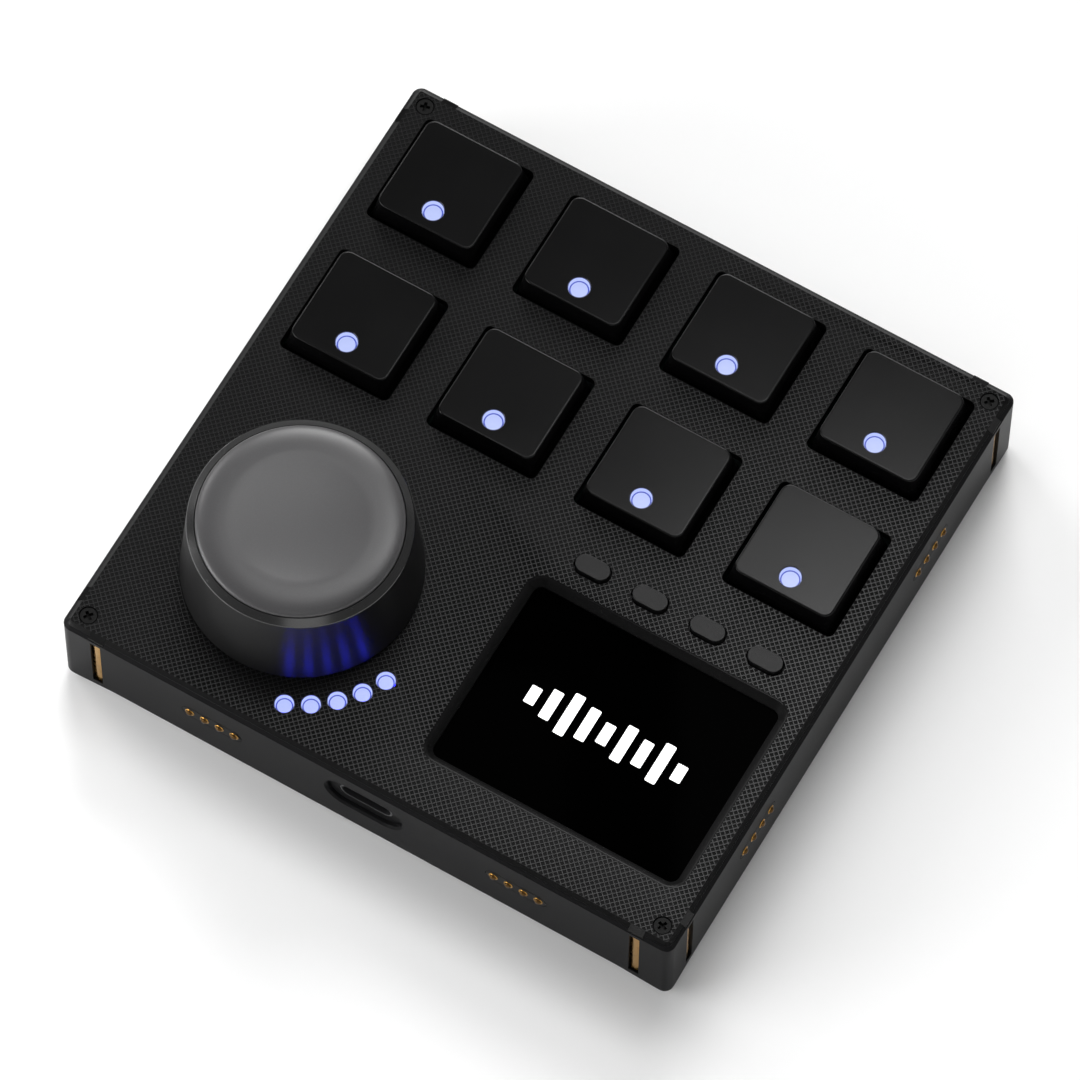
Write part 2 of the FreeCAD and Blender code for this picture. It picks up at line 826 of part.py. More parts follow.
def contact_bar(radius, near, far, along, nose=0):
    """A faceted bar that goes into the front wall at one contact's place, blunted where nose is given."""
    widths = [(radius, near + nose), (radius, far)]
    if nose:
        widths.insert(0, (radius * pin_nose_share, near))
    bar = Part.makeLoft([polygon(ring, depth, contact_facets) for ring, depth in widths], True, True)
    bar.rotate(CENTRE, ALONG_X, -90)
    return moved(bar, along, -half_side, contact_z)


def spring_pins(side):
    """The round-nosed pins of one side, all pressed back together by whatever docks there."""
    return group([on_side(contact_bar(pin_radius, -pin_proud, pin_length - pin_proud, along,
                                      nose=pin_radius * pin_nose_share), side)
                  for along in pin_places()])


def contact_pads():
    """The flat contacts of the back and left sides, level with their inserts."""
    return group([on_side(contact_bar(pad_radius, 0, pad_depth, along), side)
                  for side in (BACK, LEFT) for along in pin_places()])


def socket_shell():
    """The socket's steel shell, open at the front and closed behind."""
    near = socket_recess_depth
    far = near + socket_depth
    outer = through_front(socket_length, socket_height, near, far, z=socket_z)
    inside = through_front(socket_length - 2 * socket_wall, socket_height - 2 * socket_wall,
                           near - overrun, far - socket_wall, z=socket_z)
    return outer.cut(inside)


def socket_tongue():
    """The socket's contact tongue, standing out from a plug that fills the shell's back."""
    near = socket_recess_depth + socket_depth - socket_wall
    root = through_front(socket_length - 2 * socket_wall, socket_height - 2 * socket_wall,
                         near - tongue_reach / 3, near, z=socket_z)
    blade = through_front(tongue_length, tongue_thickness, near - tongue_reach - tongue_reach / 3,
                          near - tongue_reach / 3, z=socket_z, corner=tongue_thickness / 3)
    return root.fuse(blade)


def top_screws():
    """The four countersunk screws that hold the plate down."""
    screws = []
    for x, y in corner_places(plate_screw_inset):
        top = plate_top - plate_screw_sink
        neck = top - plate_screw_head_depth
        head = Part.makeCone(plate_screw_radius, plate_screw_head_radius, plate_screw_head_depth,
                             FreeCAD.Vector(x, y, neck))
        shank = faceted_rod(plate_screw_radius, plate_top - plate_screw_length, neck, x, y)
        screws.append(head.fuse(shank).removeSplitter())
    return group(screws)


def board_screws():
    """The four screws that hold the board on its standoffs."""
    screws = []
    for x, y in board_screw_places():
        head = faceted_rod(board_screw_head_radius, board_top, board_top + board_screw_head_height, x, y)
        shank = faceted_rod(board_screw_radius, board_top - board_screw_length, board_top, x, y)
        screws.append(head.fuse(shank).removeSplitter())
    return group(screws)


def rubber_feet():
    """The four round feet in their pockets under the floor."""
    return group([rod(foot_radius, 0, case_bottom + foot_pocket_depth, x, y)
                  for x, y in corner_places(foot_inset)])


def build_all():
    """Make every sub-part and write it."""
    save("lower_case", lower_case())
    save("top_plate", top_plate())
    save("main_board", main_board())
    housing = key_switch_housing()
    save("key_switch_housings", group([moved(housing, x, y) for x, y in key_places()]))
    cap, stem, lens = keycap(), key_stem(), key_lens()
    for number, (x, y) in enumerate(key_places(), start=1):
        save(f"keycap_{number}", moved(cap, x, y))
        save(f"key_stem_{number}", moved(stem, x, y))
        save(f"key_lens_{number}", moved(lens, x, y))
    save("encoder_body", encoder_body())
    save("encoder_plunger", encoder_plunger())
    save("encoder_shaft", encoder_shaft())
    save("knob_skirt", knob_skirt())
    save("knob_cap", knob_cap())
    save("dial_lenses", dial_lenses())
    save("light_emitters", light_emitters())
    save("display_glass", display_glass())
    save("display_module", display_module())
    save("display_ribbon", display_ribbon())
    for number, x in enumerate(button_places(), start=1):
        save(f"soft_button_{number}", soft_button(x))
    save("button_switches", button_switches())
    for number, (x, y) in enumerate(magnet_places(), start=1):
        save(f"magnet_{number}", magnet(x, y))
    save("contact_blocks", contact_blocks())
    save("front_pins", spring_pins(FRONT))
    save("right_pins", spring_pins(RIGHT))
    save("contact_pads", contact_pads())
    save("socket_shell", socket_shell())
    save("socket_tongue", socket_tongue())
    save("top_screws", top_screws())
    save("board_screws", board_screws())
    save("rubber_feet", rubber_feet())


os.makedirs("parts", exist_ok=True)
build_all()
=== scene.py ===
import logging
import math
from dataclasses import dataclass
from enum import Enum
from typing import Callable, Iterable, Sequence

import bmesh
import bpy
from mathutils import Matrix, Vector


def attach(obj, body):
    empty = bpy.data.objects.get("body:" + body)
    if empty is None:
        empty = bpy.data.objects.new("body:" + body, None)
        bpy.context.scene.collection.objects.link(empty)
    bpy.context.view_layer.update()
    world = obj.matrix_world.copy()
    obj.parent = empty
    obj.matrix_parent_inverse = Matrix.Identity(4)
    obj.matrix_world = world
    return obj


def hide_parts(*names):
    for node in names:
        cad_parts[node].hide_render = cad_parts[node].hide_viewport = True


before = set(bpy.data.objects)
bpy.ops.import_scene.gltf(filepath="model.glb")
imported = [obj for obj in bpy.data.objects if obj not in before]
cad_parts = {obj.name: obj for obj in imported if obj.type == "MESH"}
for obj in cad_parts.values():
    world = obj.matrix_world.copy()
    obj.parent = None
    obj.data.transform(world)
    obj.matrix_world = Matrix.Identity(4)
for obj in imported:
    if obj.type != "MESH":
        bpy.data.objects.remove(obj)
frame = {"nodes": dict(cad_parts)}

LOG = logging.getLogger("keypad")
UP = Vector((0, 0, 1))
QUARTER = math.pi / 2
BLUR = 0.00003
MERGE = 0.000002
FLAT = math.radians(0.5)
Point = tuple[float, float]
Colour = tuple[float, float, float]


class Side(Enum):
    """The four sides of the body, each with its outward direction."""

    FRONT = (0, -1)
    RIGHT = (1, 0)
    BACK = (0, 1)
    LEFT = (-1, 0)

    @property
    def outward(self) -> Vector:
        """Unit vector out of this side."""
        return Vector((*self.value, 0))

    @property
    def along(self) -> Vector:
        """Unit vector along this side, left to right as seen from outside."""
        return Vector((-self.value[1], self.value[0], 0))

    @property
    def turn(self) -> Vector:
        """Euler angles that lay a piece modelled along +Z out of this side."""
        return Vector(self.outward.to_track_quat("Z", "Y").to_euler())


class Slot(Enum):
    """The record's material slots, one named for each new piece."""

    CASE = "case"
    PLATE = "plate"
    KEYCAP = "keycap"
    LIGHT_WINDOW = "light_window"
    DIAL_WINDOW = "dial_window"
    KNOB_SKIRT = "knob_skirt"
    KNOB_CAP = "knob_cap"
    PANEL = "panel"
    BUTTON = "button"
    STEEL = "steel"
    SCREW = "screw"
    GOLD = "gold"
    INSERT = "insert"
    FOOT = "foot"


def operator(operation: str, swapped: bool = False) -> Callable[..., "Value"]:
    """A method that adds one Math node.

    Args:
        operation: The node's operation.
        swapped: True where the value itself is the second input.

    Returns:
        The method.
    """
    def apply(self: "Value", *others: "Value | float") -> "Value":
        """The node's result."""
        inputs = (*others, self) if swapped else (self, *others)
        return self.graph.node("ShaderNodeMath", {"operation": operation}, dict(enumerate(inputs)))
    return apply


class Value:
    """A shader socket that takes part in Python arithmetic."""

    __add__, __radd__ = operator("ADD"), operator("ADD", True)
    __sub__, __rsub__ = operator("SUBTRACT"), operator("SUBTRACT", True)
    __mul__, __rmul__ = operator("MULTIPLY"), operator("MULTIPLY", True)
    __abs__, root = operator("ABSOLUTE"), operator("SQRT")
    least, most = operator("MINIMUM"), operator("MAXIMUM")

    def __init__(self, graph: "Graph", socket: bpy.types.NodeSocket | None) -> None:
        """Wrap one output socket of a material graph."""
        self.graph, self.socket = graph, socket

    def rise(self, low: float, high: float) -> "Value":
        """A smooth step from 0 at low to 1 at high."""
        return self.graph.node("ShaderNodeMapRange", {"interpolation_type": "SMOOTHSTEP"},
                               {"Value": self, "From Min": low, "From Max": high})


class NodeTree:
    """A node tree that one method adds nodes to."""

    tree: bpy.types.NodeTree

    def add(self, kind: str, settings: dict | None = None,
            inputs: dict | None = None) -> bpy.types.Node:
        """Add any node.

        Args:
            kind: The node's type.
            settings: Its properties, set first.
            inputs: Numbers, values or (node, output) pairs, by socket name or number.

        Returns:
            The node.
        """
        made = self.tree.nodes.new(kind)
        for key, setting in (settings or {}).items():
            setattr(made, key, setting)
        for key, given in (inputs or {}).items():
            if isinstance(given, Value):
                self.tree.links.new(given.socket, made.inputs[key])
            elif isinstance(given, tuple) and isinstance(given[0], bpy.types.Node):
                self.tree.links.new(given[0].outputs[given[1]], made.inputs[key])
            else:
                made.inputs[key].default_value = given
        return made


class Graph(NodeTree):
    """One material's nodes."""

    def __init__(self, name: str) -> None:
        """Start an empty material of that name."""
        self.material = bpy.data.materials.new(name)
        self.material.use_nodes = True
        self.tree = self.material.node_tree
        self.tree.nodes.clear()

    def node(self, kind: str, settings: dict | None = None, inputs: dict | None = None,
             output: int | str = 0) -> Value:
        """Add any node, and wrap one of its outputs."""
        made = self.add(kind, settings, inputs)
        return Value(self, made.outputs[output] if made.outputs else None)

    def place(self) -> tuple[Value, Value, Value]:
        """Object coordinates in metres, as three numbers."""
        spot = self.node("ShaderNodeTexCoord", output="Object")
        parts = self.node("ShaderNodeSeparateXYZ", inputs={0: spot})
        return tuple(Value(self, parts.socket.node.outputs[axis]) for axis in range(3))

    def vector(self, x: Value | float, y: Value | float, z: Value | float) -> Value:
        """Three numbers as a vector."""
        return self.node("ShaderNodeCombineXYZ", inputs={0: x, 1: y, 2: z})

    def noise(self, scale: float, detail: float = 2.0, where: Value | None = None) -> Value:
        """Smooth noise.

        Args:
            scale: Features per metre.
            detail: Octaves.
            where: The point to read it at; the object's own coordinates if left out.

        Returns:
            The noise, from 0 to 1.
        """
        spot = where or self.node("ShaderNodeTexCoord", output="Object")
        return self.node("ShaderNodeTexNoise",
                         inputs={"Vector": spot, "Scale": scale, "Detail": detail})

    def blend(self, share: Value | float, first: Value | Colour, second: Value | Colour) -> Value:
        """A colour between two.

        Args:
            share: 0 for the first, 1 for the second.
            first: A colour.
            second: Another.

        Returns:
            The mixed colour.
        """
        ends = [end if isinstance(end, Value) else (*end, 1.0) for end in (first, second)]
        return self.node("ShaderNodeMix", {"data_type": "RGBA"},
                         {0: share, 6: ends[0], 7: ends[1]}, 2)

    def bump(self, height: Value, depth: float) -> Value:
        """A normal bent by a relief of 0 to 1, where 1 stands for a depth in metres."""
        return self.node("ShaderNodeBump", inputs={"Height": height, "Distance": depth})

    def surface(self, **sockets: "Value | float | tuple") -> bpy.types.Material:
        """Finish the material with a Principled shader.

        Args:
            **sockets: Its sockets, with underscores for spaces.

        Returns:
            The material.
        """
        inputs = {name.replace("_", " "): given for name, given in sockets.items()}
        shader = self.node("ShaderNodeBsdfPrincipled", inputs=inputs)
        self.node("ShaderNodeOutputMaterial", inputs={"Surface": shader})
        return self.material


def shade(tone: Colour, factor: float) -> Colour:
    """A colour made lighter or darker by a factor."""
    return tuple(min(1.0, part * factor) for part in tone)


@dataclass(frozen=True)
class Moulded:
    """Moulded plastic or rubber: a tone that drifts a little, and a fine grain."""

    name: str
    tone: Colour
    roughness: float = 0.5
    shine: float = 0.3
    grain: float = 5200.0
    grain_depth: float = 0.000012
    drift: float = 0.12
    cloud: float = 60.0

    def make(self) -> bpy.types.Material:
        """Build the material."""
        graph = Graph(self.name)
        cloud = graph.noise(self.cloud, 3.0)
        grain = graph.noise(self.grain, 2.0)
        tone = graph.blend(cloud, shade(self.tone, 1 - self.drift),
                           shade(self.tone, 1 + self.drift))
        return graph.surface(
            Base_Color=graph.blend(grain.rise(0.35, 0.75) * 0.35, tone, shade(self.tone, 1.5)),
            Roughness=self.roughness + (cloud - 0.5) * 0.08,
            Specular_IOR_Level=self.shine,
            Normal=graph.bump(grain, self.grain_depth))


@dataclass(frozen=True)
class Lattice:
    """The face plate: smooth satin bands, a floor darkened with painted shade where the lattice of
    ridges stands, and a thin painted shade line round the screen's rim.
    """

    name: str
    tone: Colour
    # Painted shade: the darker tone of the floor between the ridges.
    pit_shade_tone: Colour
    field: float
    screen_centre: Point
    screen_half: Point
    screen_corner: float
    screen_rim: float
    roughness: float = 0.32
    shine: float = 0.1
    # Width of the thin black painted shade line round the screen's rim.
    line: float = 0.00007

    @staticmethod
    def outside_box(x: Value, y: Value, half: Point, corner: float) -> Value:
        """Distance outside a round-cornered box, negative inside it.

        Args:
            x: Place from the box's centre.
            y: The same, across.
            half: Half its length and width.
            corner: Its corners' radius.

        Returns:
            The signed distance in metres.
        """
        over_x = abs(x) - (half[0] - corner)
        over_y = abs(y) - (half[1] - corner)
        far_x, far_y = over_x.most(0.0), over_y.most(0.0)
        return (far_x * far_x + far_y * far_y).root() + over_x.most(over_y).least(0.0) - corner

    def make(self) -> bpy.types.Material:
        """Build the material."""
        graph = Graph(self.name)
        x, y, _ = graph.place()
        outer = self.outside_box(x, y, (self.field, self.field), 0.001)
        screen = self.outside_box(x - self.screen_centre[0], y - self.screen_centre[1],
                                  self.screen_half, self.screen_corner)
        rim = screen - self.screen_rim
        band = outer.rise(-BLUR, BLUR).most(screen.rise(-BLUR, BLUR) - rim.rise(-BLUR, BLUR))
        # A thin black line just outside the screen's rim: painted shade along the rim's edge.
        rim_shade_line = 1 - abs(rim + self.line).rise(self.line * 0.6, self.line * 1.2)
        cloud = graph.noise(45.0, 3.0)
        grain = graph.noise(5200.0, 2.0)
        smooth = graph.blend(cloud, shade(self.tone, 0.9), shade(self.tone, 1.1))
        # The floor between the ridges is darkened: painted shade in the pits.
        floor = graph.blend(grain, shade(self.pit_shade_tone, 0.6), shade(self.pit_shade_tone, 1.3))
        return graph.surface(
            Base_Color=graph.blend(rim_shade_line, graph.blend(band, floor, smooth), (0.0, 0.0, 0.0)),
            Roughness=self.roughness + (1 - band).most(rim_shade_line) * 0.3 + (cloud - 0.5) * 0.06,
            Specular_IOR_Level=self.shine,
            Normal=graph.bump(grain, 0.00001))


@dataclass(frozen=True)
class Metal:
    """Drawn or turned metal: fine lines round or along the piece, and slight tarnish."""

    name: str
    tone: Colour
    roughness: float = 0.3
    stretch: tuple[float, float, float] = (1.0, 1.0, 0.05)
    lines: float = 9000.0
    line_depth: float = 0.000004

    def make(self) -> bpy.types.Material:
        """Build the material."""
        graph = Graph(self.name)
        x, y, z = graph.place()
        drawn = graph.noise(self.lines, 2.0, graph.vector(x * self.stretch[0], y * self.stretch[1],
                                                          z * self.stretch[2]))
        tarnish = graph.noise(900.0, 3.0)
        return graph.surface(
            Base_Color=graph.blend(tarnish.rise(0.4, 0.8) * 0.35, self.tone, shade(self.tone, 0.6)),
            Metallic=1.0,
            Roughness=self.roughness + (drawn - 0.5) * 0.12 + tarnish * 0.08,
            Normal=graph.bump(drawn, self.line_depth))


@dataclass(frozen=True)
class Gloss:
    """Polished plastic or glass, with faint waves and a trace of dust."""

    name: str
    tone: Colour
    roughness: float = 0.08
    shine: float = 0.5
    dust: float = 0.04
    stretch: float = 0.0

    def make(self) -> bpy.types.Material:
        """Build the material."""
        graph = Graph(self.name)
        dust = graph.noise(3000.0, 4.0).rise(0.62, 0.8)
        waves = graph.noise(90.0, 2.0)
        return graph.surface(
            Base_Color=graph.blend(dust * self.dust, self.tone, (0.3, 0.3, 0.3)),
            Roughness=self.roughness + dust * 0.15 + waves * 0.03,
            Specular_IOR_Level=self.shine,
            Anisotropic=self.stretch,
            Anisotropic_Rotation=0.25,
            Normal=graph.bump(waves, 0.00001))


@dataclass(frozen=True)
class Glow:
    """A lit cup: a pale face and wall, with deep blue painted shadow in the groove between them,
    and deep blue on the rim.

    Where beam is set, the wall's half that faces back to a centre throws strong blue light there.
    """

    name: str
    face_height: float
    rim_height: float
    face: Colour = (0.47, 0.545, 0.89)
    wall: Colour = (0.47, 0.55, 0.95)
    # Painted shadow: the deep blue that darkens the groove between the wall and the face.
    groove: Colour = (0.03, 0.055, 0.45)
    rim: Colour = (0.004, 0.007, 0.06)
    body: Colour = (0.03, 0.035, 0.08)
    beam: float = 1.0
    centre: Point = (0.0, 0.0)
    beam_from: float = 0.0
    beam_blur: float = 0.0001
    groove_shade_edge: Point = (-0.00005, -0.00002)

    def make(self) -> bpy.types.Material:
        """Build the material."""
        graph = Graph(self.name)
        x, y, z = graph.place()
        above = z - self.face_height
        depth = self.rim_height - self.face_height
        wall = above.rise(BLUR, 2 * BLUR)
        rim = above.rise(depth - 2 * BLUR, depth - BLUR)
        # Mask of the painted shadow in the groove, just under the face's height.
        groove = 1 - above.rise(*self.groove_shade_edge)
        cloud = graph.noise(900.0, 2.0)
        face, side, line, edge = (shade(tone, 1 / self.beam) for tone in
                                  (self.face, self.wall, self.groove, self.rim))
        if self.beam > 1:
            over_x, over_y = x - self.centre[0], y - self.centre[1]
            reach = (over_x * over_x + over_y * over_y).root()
            near = reach.rise(self.beam_from, self.beam_from + self.beam_blur)
            side = graph.blend(near, side, (side[0], side[1], 1.0))
        lit = graph.blend(wall, graph.blend(cloud, face, shade(face, 0.93)), side)
        return graph.surface(
            Base_Color=(*self.body, 1.0),
            Roughness=0.35 + cloud * 0.1,
            Emission_Color=graph.blend(rim, graph.blend(groove, lit, line), edge),
            Emission_Strength=self.beam)


@dataclass(frozen=True)
class Lit:
    """A plainly lit surface, such as a display's white picture elements."""

    name: str
    tone: Colour
    strength: float = 1.0

    def make(self) -> bpy.types.Material:
        """Build the material."""
        graph = Graph(self.name)
        grid = graph.noise(2500.0, 1.0)
        return graph.surface(
            Base_Color=(0.8, 0.8, 0.8, 1.0),
            Roughness=0.4 + grid * 0.1,
            Emission_Color=graph.blend(grid * 0.06, self.tone, shade(self.tone, 0.9)),
            Emission_Strength=self.strength)


def outline(length: float, width: float, corner: float, z: float, centre: Point = (0, 0),
            steps: int = 8) -> list[Vector]:
    """Points of a round-cornered rectangle.

    Args:
        length: Its size along X.
        width: Its size along Y.
        corner: Its corners' radius.
        z: Its height.
        centre: Its middle.
        steps: Faces to each corner.

    Returns:
        The points, anticlockwise.
    """
    points = []
    reach_x, reach_y = length / 2 - corner, width / 2 - corner
    for number, (sign_x, sign_y) in enumerate(((1, 1), (-1, 1), (-1, -1), (1, -1))):
        for step in range(steps + 1):
            angle = QUARTER * (number + step / steps)
            points.append(Vector((centre[0] + sign_x * reach_x + corner * math.cos(angle),
                                  centre[1] + sign_y * reach_y + corner * math.sin(angle), z)))
    return points


def circle(radius: float, z: float, centre: Point = (0, 0), count: int = 48) -> list[Vector]:
    """Points of a circle.

    Args:
        radius: Its radius.
        z: Its height.
        centre: Its middle.
        count: Number of points.

    Returns:
        The points, anticlockwise.
    """
    return [Vector((centre[0] + radius * math.cos(2 * math.pi * number / count),
                    centre[1] + radius * math.sin(2 * math.pi * number / count), z))
            for number in range(count)]


def arc(centre: Point, radius: float, start: float, end: float, steps: int = 6) -> list[Point]:
    """Points of an arc in a half section.

    Args:
        centre: Its middle, as radius and height.
        radius: Its radius.
        start: First angle in degrees.
        end: Last angle in degrees.
        steps: Faces along it.

    Returns:
        The points.
    """
    angles = [math.radians(start + (end - start) * step / steps) for step in range(steps + 1)]
    return [(centre[0] + radius * math.cos(angle), centre[1] + radius * math.sin(angle))
            for angle in angles]


def plus(reach: float, half: float, z: float) -> list[Vector]:
    """Points of a plus sign.

    Args:
        reach: Half its length.
        half: Half the width of its arms.
        z: Its height.

    Returns:
        The points, anticlockwise.
    """
    spots = [(reach, -half), (reach, half), (half, half)]
    while len(spots) < 12:
        spots += [(-y, x) for x, y in spots[-3:]]
    return [Vector((x, y, z)) for x, y in spots]


def corners(reach: float) -> list[Point]:
    """The corners of a square about the middle, each that far from both axes."""
    return [(x * reach, y * reach) for x in (-1, 1) for y in (-1, 1)]


def placed(name: str, data: bpy.types.ID) -> bpy.types.Object:
    """A new object in the scene."""
    made = bpy.data.objects.new(name, data)
    bpy.context.scene.collection.objects.link(made)
    return made


class Sketch:
    """A mesh in the making, from loops of points."""

    def __init__(self) -> None:
        """Start empty."""
        self.mesh = bmesh.new()

    def loop(self, points: Iterable[Vector]) -> list[bmesh.types.BMVert]:
        """Add a loop of vertices."""
        return [self.mesh.verts.new(point) for point in points]

    def bridge(self, low: Sequence, high: Sequence) -> None:
        """Join two loops of the same count with quads."""
        for number in range(len(low)):
            following = (number + 1) % len(low)
            self.mesh.faces.new((low[number], low[following], high[following], high[number]))

    def stack(self, outlines: Sequence[Sequence[Vector]]) -> tuple[list, list]:
        """Join outlines one after another.

        Args:
            outlines: Loops of points with equal counts.

        Returns:
            The first and the last loop of vertices.
        """
        loops = [self.loop(points) for points in outlines]
        for low, high in zip(loops, loops[1:]):
            self.bridge(low, high)
        return loops[0], loops[-1]

    def close(self, loop: Sequence) -> None:
        """Close a loop with one face."""
        self.mesh.faces.new(loop)

    def fill(self, *loops: Sequence) -> None:
        """Fill the flat area inside the first loop and outside the others."""
        edges = []
        for loop in loops:
            for number, vertex in enumerate(loop):
                following = loop[(number + 1) % len(loop)]
                edge = self.mesh.edges.get((vertex, following))
                edges.append(edge or self.mesh.edges.new((vertex, following)))
        bmesh.ops.triangle_fill(self.mesh, use_beauty=True, use_dissolve=False, edges=edges)

    def turned(self, profile: Sequence[Point], centre: Point = (0, 0), count: int = 64) -> None:
        """A turned solid, from a half section that ends on the axis or closes on itself.

        Args:
            profile: Points of radius and height.
            centre: Where the axis stands.
            count: Faces round it.
        """
        rings = []
        for radius, height in profile:
            if radius <= 0:
                rings.append([self.mesh.verts.new((*centre, height))])
            else:
                rings.append(self.loop(circle(radius, height, centre, count)))
        closed = len(rings[0]) > 1
        for low, high in zip(rings, rings[1:] + (rings[:1] if closed else [])):
            if len(low) == 1 or len(high) == 1:
                pole, ring = (low[0], high) if len(low) == 1 else (high[0], low)
                for number in range(count):
                    self.mesh.faces.new((pole, ring[number], ring[(number + 1) % count]))
            else:
                self.bridge(low, high)

    def shift(self, x: float = 0, y: float = 0, z: float = 0) -> "Sketch":
        """Move all that is there so far."""
        bmesh.ops.translate(self.mesh, verts=self.mesh.verts, vec=(x, y, z))
        return self

    def made(self, name: str, material: bpy.types.Material,
             crease: float = 35.0) -> bpy.types.Object:
        """Turn the sketch into an object.

        Args:
            name: The piece's name.
            material: Its finish.
            crease: Edges sharper than this many degrees stay sharp.

        Returns:
            The object, linked to the scene.
        """
        bmesh.ops.recalc_face_normals(self.mesh, faces=self.mesh.faces)
        data = bpy.data.meshes.new(name)
        self.mesh.to_mesh(data)
        self.mesh.free()
        return linked(name, data, material, crease)


def linked(name: str, data: bpy.types.Mesh, material: bpy.types.Material,
           crease: float = 35.0) -> bpy.types.Object:
    """A shaded object from a mesh.

    Args:
        name: The piece's name.
        data: Its mesh.
        material: Its finish.
        crease: Edges sharper than this many degrees stay sharp.

    Returns:
        The object, linked to the scene.
    """
    data.materials.clear()
    data.materials.append(material)
    data.shade_smooth()
    data.set_sharp_from_angle(angle=math.radians(crease))
    return placed(name, data)


class Tree(NodeTree):
    """A geometry node tree with named inputs."""

    def __init__(self, name: str, sizes: dict[str, tuple[str, object]]) -> None:
        """Start the tree.

        Args:
            name: Its name.
            sizes: Socket type and first value of each named input.
        """
        self.tree = bpy.data.node_groups.new(name, "GeometryNodeTree")
        face = self.tree.interface
        face.new_socket("Geometry", in_out="INPUT", socket_type="NodeSocketGeometry")
        for label, (kind, start) in sizes.items():
            socket = face.new_socket(label, in_out="INPUT", socket_type=kind)
            if start is not None:
                socket.default_value = start
        face.new_socket("Geometry", in_out="OUTPUT", socket_type="NodeSocketGeometry")
        self.given = self.tree.nodes.new("NodeGroupInput")

    def end(self, source: bpy.types.Node, output: int | str) -> None:
        """Realise the instances, set the finish and send the result out."""
        real = self.add("GeometryNodeRealizeInstances", inputs={"Geometry": (source, output)})
        dressed = self.add("GeometryNodeSetMaterial", inputs={"Geometry": (real, "Geometry"),
                                                               "Material": (self.given, "Finish")})
        self.add("NodeGroupOutput", inputs={0: (dressed, "Geometry")})

    def run(self, name: str, start: bpy.types.Mesh, given: dict[str, object],
            material: bpy.types.Material) -> bpy.types.Object:
        """Put a mesh through the tree and keep the result as a plain piece.

        Args:
            name: The piece's name.
            start: The mesh that goes in.
            given: Values of the named inputs.
            material: The finish.

        Returns:
            The finished object.
        """
        carrier = placed(name + "_carrier", start)
        modifier = carrier.modifiers.new("build", "NODES")
        modifier.node_group = self.tree
        given = {**given, "Finish": material}
        for item in self.tree.interface.items_tree:
            if item.in_out == "INPUT" and item.name in given:
                modifier[item.identifier] = given[item.name]
        depsgraph = bpy.context.evaluated_depsgraph_get()
        data = bpy.data.meshes.new_from_object(carrier.evaluated_get(depsgraph),
                                               depsgraph=depsgraph)
        bpy.data.objects.remove(carrier)
        data.name = name
        return linked(name, data, material)


class Repeater:
    """Copies one piece to many places, each with its own turn and stretch."""

    def __init__(self) -> None:
        """Build the tree once."""
        self.tree = Tree("repeat_at_places", {
            "Pattern": ("NodeSocketObject", None), "Size": ("NodeSocketFloat", 1.0),
            "Finish": ("NodeSocketMaterial", None)})
        tree = self.tree
        pattern = tree.add("GeometryNodeObjectInfo", inputs={"Object": (tree.given, "Pattern")})
        turn, stretch = (tree.add("GeometryNodeInputNamedAttribute", {"data_type": "FLOAT_VECTOR"},
                                  {"Name": label}) for label in ("turn", "stretch"))
        rotation = tree.add("FunctionNodeEulerToRotation", inputs={0: (turn, "Attribute")})
        scale = tree.add("ShaderNodeVectorMath", {"operation": "SCALE"},
                          {0: (stretch, "Attribute"), "Scale": (tree.given, "Size")})
        copies = tree.add("GeometryNodeInstanceOnPoints", inputs={
            "Points": (tree.given, "Geometry"), "Instance": (pattern, "Geometry"),
            "Rotation": (rotation, 0), "Scale": (scale, 0)})
        tree.end(copies, "Instances")

    def spread(self, name: str, pattern: bpy.types.Object, material: bpy.types.Material,
               places: Sequence[Vector], turns: Sequence[Vector] | None = None,
               stretches: Sequence[Vector] | None = None) -> bpy.types.Object:
        """Make the copies, and remove the pattern.

        Args:
            name: The new piece's name.
            pattern: The piece to copy.
            material: The finish.
            places: Where the copies stand.
            turns: Euler angles of each copy.
            stretches: Scale of each copy.

        Returns:
            All the copies as one piece.
        """
        start = bpy.data.meshes.new(name + "_places")
        start.from_pydata([tuple(place) for place in places], [], [])
        for label, values, usual in (("turn", turns, (0, 0, 0)), ("stretch", stretches, (1, 1, 1))):
            attribute = start.attributes.new(label, "FLOAT_VECTOR", "POINT")
            for number, entry in enumerate(attribute.data):
                entry.vector = values[number] if values else usual
        piece = self.tree.run(name, start, {"Pattern": pattern}, material)
        bpy.data.objects.remove(pattern)
        return piece


class Ridger:
    """Lays a low ridge along every edge of a wire mesh."""

    def __init__(self) -> None:
        """Build the tree once."""
        self.tree = Tree("ridge_along_lines", {
            "Ridge Width": ("NodeSocketFloat", 0.00025),
            "Ridge Height": ("NodeSocketFloat", 0.0001),
            "Finish": ("NodeSocketMaterial", None)})
        tree = self.tree
        lines = tree.add("GeometryNodeMeshToCurve", inputs={"Mesh": (tree.given, "Geometry")})
        level = tree.add("GeometryNodeSetCurveNormal", inputs={"Curve": (lines, "Curve")})
        if hasattr(level, "mode"):
            level.mode = "Z_UP"
        section = tree.add("GeometryNodeCurvePrimitiveQuadrilateral", inputs={
            "Width": (tree.given, "Ridge Height"), "Height": (tree.given, "Ridge Width")})
        swept = tree.add("GeometryNodeCurveToMesh", inputs={
            "Curve": (level, "Curve"), "Profile Curve": (section, "Curve"), "Fill Caps": True})
        tree.end(swept, "Mesh")

    def lay(self, name: str, lines: Sequence[tuple[Vector, Vector]], width: float, height: float,
            material: bpy.types.Material) -> bpy.types.Object:
        """Make the ridges.

        Args:
            name: The piece's name.
            lines: Start and end of each ridge, at mid height.
            width: Width of a ridge.
            height: Height of its section.
            material: The finish.

        Returns:
            All the ridges as one piece.
        """
        points = [tuple(end) for line in lines for end in line]
        edges = [(2 * number, 2 * number + 1) for number in range(len(lines))]
        start = bpy.data.meshes.new(name + "_lines")
        start.from_pydata(points, edges, [])
        return self.tree.run(name, start, {"Ridge Width": width, "Ridge Height": height}, material)


